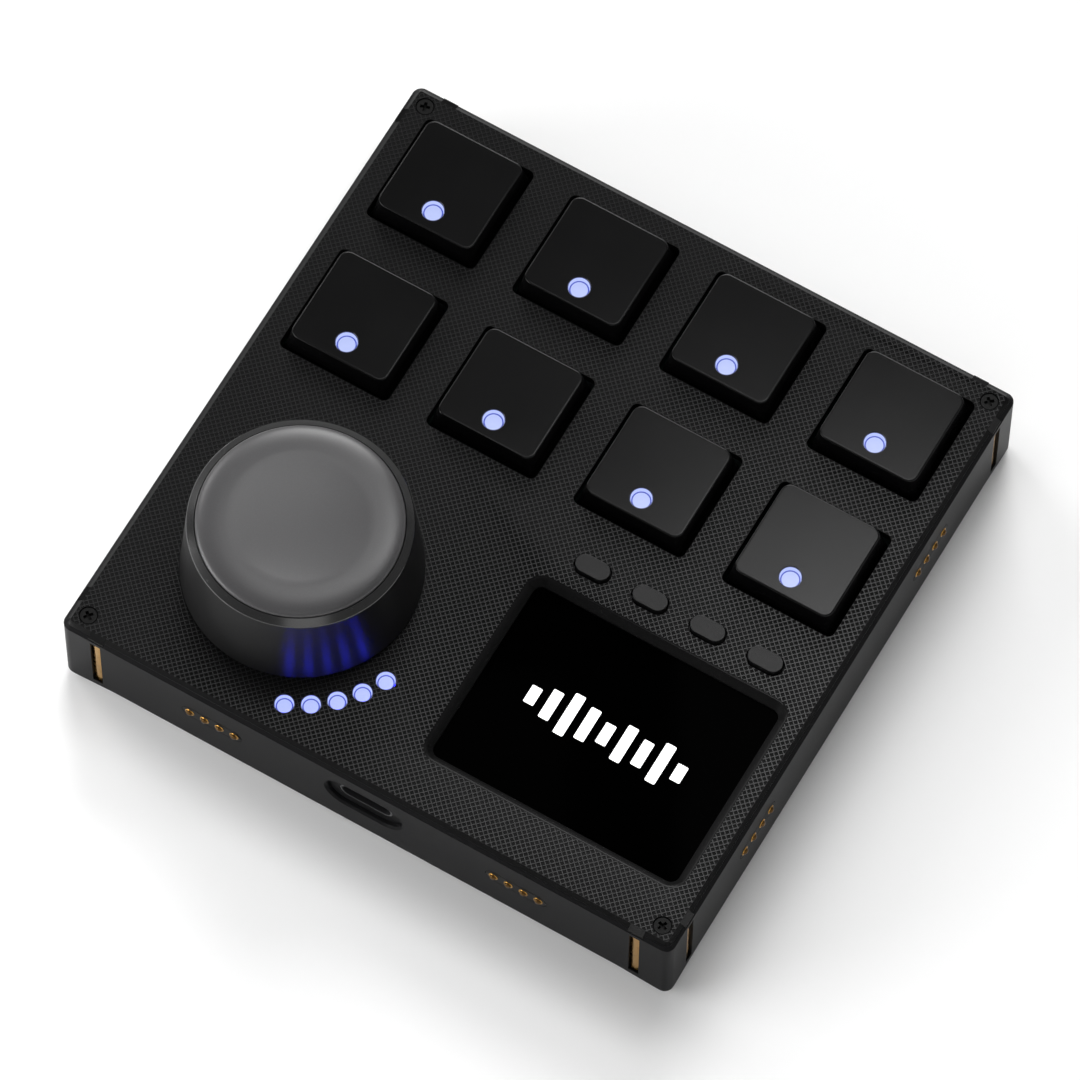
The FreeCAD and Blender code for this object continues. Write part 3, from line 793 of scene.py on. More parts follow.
class Bench:
    """Keeps the CAD nodes, and puts finished pieces on their bodies."""

    def __init__(self, nodes: dict[str, bpy.types.Object]) -> None:
        """Set out the tools.

        Args:
            nodes: The CAD nodes by name.
        """
        self.nodes = nodes
        self.repeater = Repeater()
        self.ridger = Ridger()

    def put(self, piece: bpy.types.Object, body: str, slot: Slot, *replaced: str) -> None:
        """Make a piece ride on a body.

        Args:
            piece: The finished piece.
            body: The body it moves with.
            slot: The record's slot for the piece; not used.
            *replaced: CAD nodes that it stands for.
        """
        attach(piece, body)
        if replaced:
            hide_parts(*replaced)
        LOG.info("%s: %d faces on %s", piece.name, len(piece.data.polygons), body)

    def dress(self, finish: "Moulded | Metal | Gloss | Lattice | Glow", *nodes: str) -> None:
        """Give CAD nodes a finish."""
        material = finish.make()
        for name in nodes:
            node = self.nodes[name]
            if not node.material_slots:
                node.data.materials.append(material)
            for socket in node.material_slots:
                socket.material = material
            LOG.info("%s: carried over, %s", name, finish.name)

    def refined(self, node: str, name: str, finish: "Moulded | Metal | Gloss | Lattice",
                edge: float = 0.0) -> bpy.types.Object:
        """A merged, smooth-shaded copy of a CAD node, its sharp edges eased where asked.

        Args:
            node: The CAD node.
            name: The new piece's name.
            finish: Its finish.
            edge: Width of the easing.

        Returns:
            The piece.
        """
        sketch = Sketch()
        sketch.mesh.from_mesh(self.nodes[node].data)
        bmesh.ops.remove_doubles(sketch.mesh, verts=sketch.mesh.verts, dist=MERGE)
        bmesh.ops.dissolve_limit(sketch.mesh, angle_limit=FLAT, verts=sketch.mesh.verts,
                                 edges=sketch.mesh.edges)
        piece = sketch.made(name, finish.make(), 30.0)
        if edge:
            bevel = piece.modifiers.new("eased_edges", "BEVEL")
            bevel.width = edge
            bevel.segments = 2
            bevel.limit_method = "ANGLE"
            bevel.angle_limit = math.radians(35)
            bevel.harden_normals = True
        return piece


@dataclass
class Body:
    """Heights and sizes that all sub-assemblies share, in metres."""

    half_side: float = 0.052
    plate_top: float = 0.0175
    side_inset: float = 0.006
    contact_height: float = 0.010
    contact_offset: float = 0.026
    contact_pitch: float = 0.00254
    contacts: int = 4
    knob_centre: Point = (-0.0256, -0.0263)
    screen_centre: Point = (0.0263, -0.0263)


BODY = Body()
SATIN_BLACK = Moulded("satin_black_case", (0.007, 0.007, 0.0074), 0.36, 0.04, drift=0.08)
BLACK_CAP = Moulded("satin_black_cap", (0.0012, 0.0012, 0.0013), 0.24, 0.17, grain=7000.0,
                    grain_depth=0.000004)
GOLD = Metal("gold_plate", (0.5, 0.275, 0.065), 0.22)
# The pins' gold, darkened with painted shade and painted dark reflection; the same plating as the
# bright gold collars and pads.
SHADED_PIN_GOLD = Metal("pin_gold_painted_shade", (0.1, 0.055, 0.02), 0.25)


@dataclass
class Housing:
    """The lower case and its side inserts."""

    edge: float = 0.0001

    def build(self, bench: Bench) -> None:
        """Dress the case and the inserts."""
        bench.put(bench.refined("lower_case", "case_tray", SATIN_BLACK, self.edge), "root",
                  Slot.CASE, "lower_case")
        insert = Moulded("insulator_black", (0.006, 0.006, 0.006), 0.45, 0.08)
        bench.put(bench.refined("contact_blocks", "side_inserts", insert), "root", Slot.INSERT,
                  "contact_blocks")


@dataclass
class FacePlate:
    """The face plate, its lattice of ridges and its screws."""

    lattice_pitch: float = 0.000683
    ridge_width: float = 0.00011
    ridge_rise: float = 0.00006
    field: float = 0.05085
    tab_drop: float = 0.0001
    tab_start: float = 0.0002
    tab_skin: float = 0.0003
    screen_length: float = 0.0437
    screen_width: float = 0.0338
    screen_corner: float = 0.0025
    screen_rim: float = 0.0003
    key_cutout: float = 0.0191
    key_corner: float = 0.0011
    knob_clear: float = 0.0045
    light_clear: float = 0.0016
    screw_inset: float = 0.0031
    screw_radius: float = 0.00135
    screw_clear: float = 0.0015
    screw_easing: float = 0.00008
    screw_sink: float = 0.0001
    screw_length: float = 0.0055
    screw_turns: tuple[float, ...] = (0.9, 0.3, 1.2, 0.75)
    shank_radius: float = 0.0008
    recess_reach: float = 0.00078
    recess_half: float = 0.00025
    recess_depth: float = 0.0006
    weave_sink: float = 0.000004
    button_length: float = 0.0062
    button_width: float = 0.0036

    def build(self, bench: Bench) -> None:
        """Dress the plate and stand the lattice and the screws on it."""
        finish = Lattice("face_plate", (0.003, 0.003, 0.0031), (0.0015, 0.0015, 0.0016), self.field,
                         BODY.screen_centre, (self.screen_length / 2, self.screen_width / 2),
                         self.screen_corner, self.screen_rim)
        plate = bench.refined("top_plate", "face_plate", finish)
        self.slope_tabs(plate.data)
        bench.put(plate, "root", Slot.PLATE, "top_plate")
        # The ridges take a lighter copy of the plate's black: painted light on the ridge tops.
        ridge = Moulded("lattice_ridge", (0.009, 0.009, 0.0093), 0.3, 0.25, drift=0.1)
        lattice = bench.ridger.lay("face_lattice", self.lines(), self.ridge_width,
                                   2 * self.ridge_rise, ridge.make())
        bench.put(lattice, "root", Slot.PLATE)
        self.add_screws(bench)

    def slope_tabs(self, plate: bpy.types.Mesh) -> None:
        """Slope the top of each edge tab so that it runs on into the case's chamfer."""
        for vertex in plate.vertices:
            over = max(abs(vertex.co.x), abs(vertex.co.y)) - self.field
            if over > self.tab_start and vertex.co.z > BODY.plate_top - self.tab_skin:
                vertex.co.z = BODY.plate_top - over - self.tab_drop
        plate.update()

    def holes(self) -> list[list[Vector]]:
        """Outlines that the lattice keeps clear of."""
        z = BODY.plate_top
        rim = 2 * self.screen_rim
        found = [outline(self.screen_length + rim, self.screen_width + rim,
                         self.screen_corner + self.screen_rim, z, BODY.screen_centre),
                 circle(self.knob_clear, z, BODY.knob_centre)]
        for centre in KeyBank().places():
            found.append(outline(self.key_cutout, self.key_cutout, self.key_corner, z, centre))
        for centre in DialLights().places():
            found.append(circle(self.light_clear, z, centre, 16))
        for centre in ButtonRow().places():
            found.append(outline(self.button_length, self.button_width, self.button_width / 2, z,
                                 centre))
        for centre in self.screw_places():
            found.append(circle(self.screw_clear, z, centre, 16))
        return found

    def screw_places(self) -> list[Point]:
        """Centres of the four screws."""
        return corners(BODY.half_side - self.screw_inset)

    def lines(self) -> list[tuple[Vector, Vector]]:
        """The lattice's lines, cut where an opening interrupts them."""
        field = outline(2 * self.field, 2 * self.field, 0.001, BODY.plate_top)
        holes = self.holes()
        half_count = int(2 * self.field / self.lattice_pitch / math.sqrt(2)) + 1
        found = []
        for lean, sink in ((1, 0.0), (-1, self.weave_sink)):
            direction = Vector((1, lean, 0)).normalized()
            across = Vector((-direction.y, direction.x, 0))
            for number in range(-half_count, half_count + 1):
                start = across * (number + 0.5) * self.lattice_pitch
                start.z = BODY.plate_top - sink
                for low, high in self.kept(field, holes, start, direction):
                    found.append((start + direction * low, start + direction * high))
        return found

    @staticmethod
    def span(shape: Sequence[Vector], start: Vector, direction: Vector) -> Point | None:
        """The stretch of a line that lies inside a convex outline.

        Args:
            shape: The outline, anticlockwise.
            start: A point of the line.
            direction: Its unit direction.

        Returns:
            Where it enters and leaves, or None if it misses.
        """
        low, high = -1.0, 1.0
        for corner, following in zip(shape, shape[1:] + shape[:1]):
            edge_x, edge_y = following.x - corner.x, following.y - corner.y
            inside = edge_x * (start.y - corner.y) - edge_y * (start.x - corner.x)
            pace = edge_x * direction.y - edge_y * direction.x
            if abs(pace) < 1e-12:
                if inside < 0:
                    return None
                continue
            crossing = -inside / pace
            low, high = (max(low, crossing), high) if pace > 0 else (low, min(high, crossing))
        return (low, high) if low < high else None

    def kept(self, field: Sequence[Vector], holes: Sequence[Sequence[Vector]], start: Vector,
             direction: Vector) -> list[Point]:
        """The stretches of one line that lie in the field and in no hole.

        Args:
            field: The outline that the lattice fills.
            holes: The outlines that it keeps clear of.
            start: A point of the line.
            direction: Its unit direction.

        Returns:
            Start and end of each stretch.
        """
        whole = self.span(field, start, direction)
        stretches = [whole] if whole else []
        for hole in holes:
            gap = self.span(hole, start, direction)
            if gap is None:
                continue
            cut = []
            for low, high in stretches:
                if low < gap[0]:
                    cut.append((low, min(high, gap[0])))
                if gap[1] < high:
                    cut.append((max(low, gap[1]), high))
            stretches = cut
        return [(low, high) for low, high in stretches if high - low > self.ridge_width]

    def add_screws(self, bench: Bench) -> None:
        """Four countersunk screws with a cross recess."""
        sketch = Sketch()
        rim = sketch.loop(circle(self.screw_radius - self.screw_easing, 0))
        mouth = sketch.loop(plus(self.recess_reach, self.recess_half, 0))
        floor = sketch.loop(plus(self.recess_reach * 0.75, self.recess_half * 0.75,
                                 -self.recess_depth))
        sketch.fill(rim, mouth)
        sketch.bridge(mouth, floor)
        sketch.fill(floor)
        edge = sketch.loop(circle(self.screw_radius, -self.screw_easing))
        neck = sketch.loop(circle(self.shank_radius, -self.shank_radius))
        tip = sketch.loop(circle(self.shank_radius, -self.screw_length))
        for low, high in ((rim, edge), (edge, neck), (neck, tip)):
            sketch.bridge(low, high)
        sketch.close(tip)
        black_steel = Moulded("blackened_steel", (0.002, 0.002, 0.002), 0.5, 0.12).make()
        pattern = sketch.made("screw_pattern", black_steel)
        places = [Vector((x, y, BODY.plate_top - self.screw_sink)) for x, y in self.screw_places()]
        turns = [Vector((0, 0, angle)) for angle in self.screw_turns]
        screws = bench.repeater.spread("plate_screws", pattern, black_steel, places, turns)
        bench.put(screws, "root", Slot.SCREW, "top_screws")


@dataclass
class KeyBank:
    """Eight hollow keycaps with their lit windows."""

    pitch: float = 0.0254
    base: float = 0.0181
    top: float = 0.0166
    base_corner: float = 0.0008
    top_corner: float = 0.0016
    foot_height: float = 0.0154
    top_height: float = 0.0207
    ceiling: float = 0.0195
    wall: float = 0.0011
    easing: float = 0.0003
    band: float = 0.0002
    crown_inset: float = 0.0001
    inner_corner: float = 0.0003
    window_offset: float = -0.00508
    window_radius: float = 0.00175
    window_easing: float = 0.00006
    window_gap: float = 0.00004
    post_radius: float = 0.00275
    post_foot: float = 0.01705
    cross: float = 0.0041
    cross_width: float = 0.0013
    cross_roof: float = 0.00005
    lens_face: float = 0.0197
    lens_rim: float = 0.02058
    lens_foot: float = 0.01875

    def places(self) -> list[Point]:
        """Centres of the keys, from the back left."""
        return [((column - 1.5) * self.pitch, row * self.pitch) for row in (1.5, 0.5)
                for column in range(4)]

    def ring(self, z: float, inset: float = 0.0) -> list[Vector]:
        """Outline of a cap.

        Args:
            z: Its height.
            inset: How far it is drawn in from the leaning side.

        Returns:
            The outline, its corners rounder towards the top.
        """
        shoulder = self.top_height - self.easing
        share = min(1.0, (z - self.foot_height) / (shoulder - self.foot_height))
        side = self.base + share * (self.top - self.base) - 2 * inset
        corner = self.base_corner + share * (self.top_corner - self.base_corner) - inset
        return outline(side, side, corner, z)

    def cap(self) -> Sketch:
        """One keycap about the origin."""
        sketch = Sketch()
        shoulder = self.top_height - self.easing
        rings = [self.ring(z) for z in (self.foot_height, self.foot_height + self.band,
                                        shoulder - self.band, shoulder)]
        rings += [self.ring(z, self.easing - reach)
                  for reach, z in arc((0, shoulder), self.easing, 0, 90, 4)[1:]]
        rings.append(self.ring(self.top_height, self.easing + self.crown_inset))
        foot, crown = sketch.stack(rings)
        window = (0, self.window_offset)
        mouth, sleeve = sketch.stack([
            circle(self.window_radius + self.window_easing, self.top_height, window),
            circle(self.window_radius, self.top_height - self.window_easing, window),
            circle(self.window_radius, self.ceiling, window)])
        sketch.fill(crown, mouth)
        lip, roof = sketch.stack([
            outline(side - 2 * self.wall, side - 2 * self.wall, self.inner_corner, z, steps=2)
            for side, z in ((self.base, self.foot_height), (self.top, self.ceiling))])
        sketch.fill(foot, lip)
        post_top, post_foot = sketch.stack([circle(self.post_radius, z) for z in
                                            (self.ceiling, self.post_foot)])
        sketch.fill(roof, sleeve, post_top)
        socket, bottom = sketch.stack([plus(self.cross / 2, self.cross_width / 2, z) for z in
                                       (self.post_foot, self.ceiling - self.cross_roof)])
        sketch.fill(post_foot, socket)
        sketch.fill(bottom)
        return sketch

    def build(self, bench: Bench) -> None:
        """Make the caps and their windows."""
        black = BLACK_CAP.make()
        glow = Glow("key_window", self.lens_face, self.lens_rim).make()
        for number, (x, y) in enumerate(self.places(), start=1):
            cap = self.cap().shift(x, y).made(f"key_cap_{number}", black, 40.0)
            bench.put(cap, f"key_{number}", Slot.KEYCAP, f"keycap_{number}")
            lens = lit_cup(self.window_radius - self.window_gap, self.lens_face, self.lens_rim,
                           self.lens_foot)
            lens.shift(x, y + self.window_offset)
            bench.put(lens.made(f"key_window_{number}", glow), f"key_{number}", Slot.LIGHT_WINDOW,
                      f"key_lens_{number}")


def lit_cup(radius: float, face: float, rim: float, foot: float) -> Sketch:
    """A clear cup: a thin rim, a wall that narrows downwards, a groove and a flat face.

    Args:
        radius: Its radius.
        face: Height of its face.
        rim: Height of its rim.
        foot: Height of its lower end.

    Returns:
        The sketch about the Z axis.
    """
    lip, step, groove, depth, lift = 0.00007, 0.0002, 0.0002, 0.00012, 0.00002
    sketch = Sketch()
    low = radius - step
    sketch.turned([(0, foot), (radius, foot), (radius, rim), (radius - lip, rim),
                   (low, face + lift), (low, face - depth), (low - groove, face - depth),
                   (low - groove, face), (radius * 0.4, face), (0, face)])
    return sketch


@dataclass
class DialKnob:
    """The knob: a polished skirt, the bright ring on its rim and the satin disc set in it."""

    base_radius: float = 0.0182
    rim_radius: float = 0.0168
    disc_radius: float = 0.01555
    foot: float = 0.0183
    rim_foot: float = 0.0333
    rim_top: float = 0.0340
    top: float = 0.0352
    disc_bottom: float = 0.0316
    wall: float = 0.0013
    web: float = 0.0016
    hub_radius: float = 0.0052
    hub_foot: float = 0.0199
    bore: float = 0.00305
    shoulder: float = 0.0043
    dish_radius: float = 0.01075
    dish_depth: float = 0.0008
    gap: float = 0.00008
    fine: float = 0.00012
    hair: float = 0.00003
    lap: float = 0.0001
    slope_inset: float = 0.00022
    waist_drop: float = 0.0012
    foot_band: float = 0.0005
    foot_easing: float = 0.0002
    disc_lift: float = 0.00002
    round_steps: int = 16
    dish_steps: int = 12
    round_count: int = 256

    def ring(self) -> Sketch:
        """The sloping ring round the disc."""
        sketch = Sketch()
        inner, outer, low = self.disc_radius, self.rim_radius, self.rim_foot
        sketch.turned([(inner, low - self.lap), (inner, self.rim_top - self.gap),
                       (inner + self.gap, self.rim_top),
                       (outer - self.slope_inset, low + self.fine),
                       (outer - self.gap, low + self.hair), (outer, low - self.lap)],
                      BODY.knob_centre, self.round_count)
        return sketch

    def build(self, bench: Bench) -> None:
        """Make the skirt, the ring and the disc."""
        ring = Gloss("polished_ring", (0.003, 0.003, 0.0032), 0.17, 1.0, 0.0, 0.0).make()
        bench.put(self.ring().made("knob_ring", ring, 25.0), "knob", Slot.KNOB_SKIRT)
        web_foot = self.disc_bottom - self.web
        ledge = self.rim_foot - self.fine
        skirt = Sketch()
        skirt.turned([
            (0, self.disc_bottom), (self.disc_radius, self.disc_bottom), (self.disc_radius, ledge),
            (self.rim_radius, ledge),
            (self.rim_radius + self.lap, self.rim_foot - self.waist_drop),
            (self.base_radius - self.hair, self.foot + self.foot_band),
            (self.base_radius, self.foot + self.foot_easing),
            (self.base_radius - self.foot_easing, self.foot),
            (self.base_radius - self.wall, self.foot),
            (self.rim_radius - self.wall, web_foot), (self.hub_radius, web_foot),
            (self.hub_radius, self.hub_foot), (self.bore, self.hub_foot), (self.bore, web_foot),
            (0, web_foot)], BODY.knob_centre, self.round_count)
        polished = Gloss("polished_skirt", (0.0015, 0.0015, 0.0017), 0.42, 0.24, 0.0, 0.62).make()
        bench.put(skirt.made("knob_wall", polished, 25.0), "knob", Slot.KNOB_SKIRT, "knob_skirt")

        disc = Sketch()
        crest = self.disc_radius - self.shoulder
        edge = self.disc_radius - self.gap
        bottom = self.disc_bottom + self.disc_lift
        profile = [(0, bottom), (edge, bottom), (edge, self.rim_top)]
        for step in range(1, self.round_steps + 1):
            angle = QUARTER * step / self.round_steps
            profile.append((crest + (self.shoulder - self.gap) * math.cos(angle),
                            self.rim_top + (self.top - self.rim_top) * math.sin(angle)))
        for step in range(self.dish_steps + 1):
            share = 1 - step / self.dish_steps
            profile.append((self.dish_radius * share,
                            self.top - self.dish_depth * (1 - share ** 2)))
        disc.turned(profile, BODY.knob_centre, self.round_count)
        satin = Moulded("satin_grey_disc", (0.045, 0.044, 0.0457), 0.36, 0.45, grain=6500.0,
                        grain_depth=0.000005, drift=0.04).make()
        bench.put(disc.made("knob_disc", satin, 25.0), "knob", Slot.KNOB_CAP, "knob_cap")


@dataclass
class DialLights:
    """The arc of lit light pipes beside the knob."""

    arc_radius: float = 0.02205
    middle: float = -45.7
    step: float = 10.2
    count: int = 5
    radius: float = 0.0015
    face: float = 0.0165
    rim: float = 0.01738
    foot: float = 0.0094
    beam: float = 150.0

    def places(self) -> list[Point]:
        """Centres of the lights."""
        found = []
        for number in range(self.count):
            angle = math.radians(self.middle + (number - (self.count - 1) / 2) * self.step)
            found.append((BODY.knob_centre[0] + self.arc_radius * math.cos(angle),
                          BODY.knob_centre[1] + self.arc_radius * math.sin(angle)))
        return found

    def build(self, bench: Bench) -> None:
        """Make the lenses."""
        glow = Glow("dial_window", self.face, self.rim, beam=self.beam, centre=BODY.knob_centre,
                    beam_from=self.arc_radius + self.radius * 0.84).make()
        pattern = lit_cup(self.radius, self.face, self.rim, self.foot).made("lens_pattern", glow)
        lenses = bench.repeater.spread("dial_windows", pattern, glow,
                                       [Vector((x, y, 0)) for x, y in self.places()])
        bench.put(lenses, "root", Slot.DIAL_WINDOW, "dial_lenses")


@dataclass
class Screen:
    """The cover glass and the plain row of level bars that it shows."""

    bar_count: int = 9
    bar_pitch: float = 0.0031
    bar_width: float = 0.0017
    bar_corner: float = 0.00025
    bar_depth: float = 0.00002
    glass_top: float = 0.0160
    bar_lift: float = 0.00002
    levels: tuple[float, ...] = (0.42, 0.7, 1.0, 0.78, 0.5, 0.86, 0.62, 0.95, 0.4)
    full_level: float = 0.0072

    def build(self, bench: Bench) -> None:
        """Dress the glass and lay the bars on it."""
        bench.dress(Gloss("cover_glass", (0.0002, 0.0002, 0.0002), 0.05, 0.001, 0.0),
                    "display_glass")
        white = Lit("screen_white", (1.0, 1.0, 1.0)).make()
        sketch = Sketch()
        low, high = sketch.stack([
            outline(self.bar_width, self.full_level, self.bar_corner, z, steps=3)
            for z in (0, self.bar_depth)])
        sketch.close(low)
        sketch.close(high)
        pattern = sketch.made("bar_pattern", white)
        middle = (self.bar_count - 1) / 2
        places = [Vector((BODY.screen_centre[0] + (number - middle) * self.bar_pitch,
                          BODY.screen_centre[1], self.glass_top + self.bar_lift))
                  for number in range(self.bar_count)]
        bars = bench.repeater.spread("level_bars", pattern, white, places,
                                     stretches=[Vector((1, level, 1)) for level in self.levels])
        bench.put(bars, "root", Slot.PANEL)


@dataclass
class ButtonRow:
    """Four soft round-ended buttons above the screen."""

    count: int = 4
    pitch: float = 0.0098
    row: float = -0.0048
    length: float = 0.0056
    width: float = 0.0030
    top: float = 0.0183
    easing: float = 0.0001
    crown_inset: float = 0.0001
    flange: float = 0.0006
    flange_top: float = 0.01595
    flange_foot: float = 0.01515
    stalk: float = 0.0012
    stalk_foot: float = 0.0107

    def places(self) -> list[Point]:
        """Centres of the buttons, left to right."""
        middle = (self.count - 1) / 2
        return [(BODY.screen_centre[0] + (number - middle) * self.pitch, self.row)
                for number in range(self.count)]

    def ring(self, extra: float, z: float) -> list[Vector]:
        """A round-ended outline, wider than a button's top by some extra."""
        width = self.width + extra
        return outline(self.length + extra, width, width / 2, z, steps=12)

    def build(self, bench: Bench) -> None:
        """Make the buttons."""
        rubbery = Moulded("soft_button_black", (0.004, 0.004, 0.0042), 0.4, 0.2,
                          grain=6500.0).make()
        shoulder = self.top - self.easing
        flange = 2 * self.flange
        sections = [(flange, self.flange_foot), (flange, self.flange_top), (0, self.flange_top),
                    (0, shoulder)]
        sections += [(2 * (reach - self.easing), z)
                     for reach, z in arc((0, shoulder), self.easing, 0, 90, 4)[1:]]
        sections.append((-2 * self.easing - self.crown_inset, self.top))
        for number, (x, y) in enumerate(self.places(), start=1):
            sketch = Sketch()
            foot, crown = sketch.stack([self.ring(extra, z) for extra, z in sections])
            sketch.close(crown)
            neck, stub = sketch.stack([circle(self.stalk, z, count=24) for z in
                                       (self.flange_foot, self.stalk_foot)])
            sketch.fill(foot, neck)
            sketch.close(stub)
            button = sketch.shift(x, y).made(f"screen_button_{number}", rubbery)
            bench.put(button, f"button_{number}", Slot.BUTTON, f"soft_button_{number}")


@dataclass
class CornerMagnets:
    """The gold-plated magnet rods behind the corner slots."""

    set_back: float = 0.00185
    radius: float = 0.0015
    foot: float = 0.0025
    top: float = 0.01585
    easing: float = 0.00015

    def build(self, bench: Bench) -> None:
        """Make the rods, two to a side."""
        gold = GOLD.make()
        inner = self.radius - self.easing
        profile = [(0, self.foot), (inner, self.foot), (self.radius, self.foot + self.easing),
                   (self.radius, self.top - self.easing), (inner, self.top), (0, self.top)]
        ends = [(side, end) for side in Side for end in (-1, 1)]
        for number, (side, end) in enumerate(ends, start=1):
            spot = side.outward * (BODY.half_side - self.set_back) \
                + side.along * end * (BODY.half_side - BODY.side_inset)
            rod = Sketch()
            rod.turned(profile, (spot.x, spot.y))
            name = f"magnet_rod_{number}"
            bench.put(rod.made(name, gold), name, Slot.GOLD, f"magnet_{number}")


@dataclass
class DockContacts:
    """Spring pins in the front and right sides, flat contacts in the other two."""

    pin_radius: float = 0.0005
    pin_length: float = 0.004
    pin_proud: float = 0.0005
    pin_round: float = 0.0004
    pad_radius: float = 0.0008
    pad_depth: float = 0.0012
    pad_easing: float = 0.00006
    pad_dish: float = 0.00003
    collar_bore: float = 0.0006
    collar_radius: float = 0.00078
    collar_proud: float = 0.0001
    collar_easing: float = 0.00005

    def spots(self, side: Side) -> list[Vector]:
        """Places of one side's contacts, on its face."""
        found = []
        middle = (BODY.contacts - 1) / 2
        for group in (-1, 1):
            for number in range(BODY.contacts):
                along = group * BODY.contact_offset + (number - middle) * BODY.contact_pitch
                found.append(side.outward * BODY.half_side + side.along * along
                             + UP * BODY.contact_height)
        return found

    def build(self, bench: Bench) -> None:
        """Make the pins, the rings round them and the pads."""
        # The pins take the gold darkened with painted shade; the collars and the pads take the
        # plain gold.
        gold, bright = SHADED_PIN_GOLD.make(), GOLD.make()
        for side, node, body in ((Side.FRONT, "front_pins", "front_pin_set"),
                                 (Side.RIGHT, "right_pins", "right_pin_set")):
            pins = self.spread(bench, f"{node}_turned", self.pin(gold), gold, side)
            bench.put(pins, body, Slot.GOLD, node)
        collars = self.spread(bench, "pin_collars", self.collar(bright), bright, Side.FRONT,
                              Side.RIGHT)
        bench.put(collars, "root", Slot.GOLD)
        pads = self.spread(bench, "contact_faces", self.pad(bright), bright, Side.BACK, Side.LEFT)
        bench.put(pads, "root", Slot.GOLD, "contact_pads")

    def spread(self, bench: Bench, name: str, pattern: bpy.types.Object,
               gold: bpy.types.Material, *sides: Side) -> bpy.types.Object:
        """Stand a pattern at every contact of some sides.

        Args:
            bench: The bench with the tools.
            name: The new piece's name.
            pattern: The piece to copy.
            gold: Its finish.
            *sides: The sides.

        Returns:
            All the copies as one piece.
        """
        spots = [(spot, side.turn) for side in sides for spot in self.spots(side)]
        return bench.repeater.spread(name, pattern, gold, *zip(*spots))

    def pin(self, gold: bpy.types.Material) -> bpy.types.Object:
        """One round-nosed pin, out along +Z."""
        nose = self.pin_radius
        sketch = Sketch()
        profile = [(0, self.pin_proud - self.pin_length), (nose, self.pin_proud - self.pin_length)]
        profile += arc((nose - self.pin_round, self.pin_proud - self.pin_round), self.pin_round,
                       0, 90, 6)
        profile.append((0, self.pin_proud))
        sketch.turned(profile, count=24)
        return sketch.made("pin_pattern", gold)

    def collar(self, gold: bpy.types.Material) -> bpy.types.Object:
        """The low ring that each pin comes out of."""
        sketch = Sketch()
        bore, rim, proud = self.collar_bore, self.collar_radius, self.collar_proud
        ease = self.collar_easing
        sketch.turned([(bore, -proud), (rim, -proud), (rim, proud * 0.4), (rim - ease, proud),
                       (bore + ease, proud), (bore, proud * 0.4)], count=24)
        return sketch.made("collar_pattern", gold)

    def pad(self, gold: bpy.types.Material) -> bpy.types.Object:
        """One flat contact with an eased edge."""
        sketch = Sketch()
        edge, ease = self.pad_radius, self.pad_easing
        sketch.turned([(0, -self.pad_depth), (edge, -self.pad_depth), (edge, -ease),
                       (edge - ease, 0), (0, -self.pad_dish)], count=32)
        return sketch.made("pad_pattern", gold)


@dataclass
class PowerSocket:
    """The socket's shell and its contact tongue."""

    def build(self, bench: Bench) -> None:
        """Dress the shell and the tongue."""
        shell = Metal("dark_nickel", (0.12, 0.12, 0.125), 0.32, (1.0, 1.0, 1.0))
        bench.put(bench.refined("socket_shell", "socket_sleeve", shell), "root", Slot.STEEL,
                  "socket_shell")
        tongue = Moulded("tongue_black", (0.012, 0.012, 0.013), 0.5, 0.3)
        bench.put(bench.refined("socket_tongue", "socket_blade", tongue), "root", Slot.INSERT,
                  "socket_tongue")


@dataclass
class Feet:
    """Round rubber feet with an eased edge."""

    radius: float = 0.0045
    inset: float = 0.012
    top: float = 0.0018
    easing: float = 0.0003

    def build(self, bench: Bench) -> None:
        """Make the feet."""
        rubber = Moulded("foot_rubber", (0.02, 0.02, 0.02), 0.75, 0.25, grain=3500.0,
                         grain_depth=0.00003).make()
        sketch = Sketch()
        sketch.turned([(0, 0)]
                      + arc((self.radius - self.easing, self.easing), self.easing, -90, 0, 5)
                      + [(self.radius, self.top), (0, self.top)], count=72)
        places = [Vector((x, y, 0)) for x, y in corners(BODY.half_side - self.inset)]
        feet = bench.repeater.spread("round_feet", sketch.made("foot_pattern", rubber), rubber,
                                     places)
        bench.put(feet, "root", Slot.FOOT, "rubber_feet")


@dataclass
class Interior:
    """Finishes of the pieces that the case hides."""

    def build(self, bench: Bench) -> None:
        """Dress each hidden CAD node."""
        bench.dress(Moulded("switch_black", (0.03, 0.03, 0.032), 0.5, 0.4), "key_switch_housings",
                    "button_switches")
        bench.dress(Moulded("stem_grey", (0.2, 0.21, 0.23), 0.35, 0.4),
                    *[f"key_stem_{number}" for number in range(1, 9)])
        bench.dress(Moulded("solder_mask", (0.012, 0.04, 0.025), 0.3, 0.5, grain=400.0,
                            grain_depth=0.00003), "main_board")
        bench.dress(Metal("encoder_steel", (0.55, 0.55, 0.56), 0.35), "encoder_body",
                    "encoder_plunger", "encoder_shaft")
        bench.dress(Moulded("emitter_white", (0.8, 0.8, 0.76), 0.4, 0.4), "light_emitters")
        bench.dress(Gloss("panel_black", (0.02, 0.02, 0.024), 0.2), "display_module")
        bench.dress(Moulded("amber_film", (0.45, 0.22, 0.05), 0.3, 0.5), "display_ribbon")
        bench.dress(Metal("screw_steel", (0.5, 0.5, 0.51), 0.35, (1.0, 1.0, 1.0)), "board_screws")


def hang(name: str, data: bpy.types.Light, power: float, facing: Vector) -> bpy.types.Object:
    """Put up a light of some power that shines in a direction."""
    data.energy = power
    lamp = placed(name, data)
    lamp.rotation_euler = facing.to_track_quat("-Z", "Y").to_euler()
    return lamp


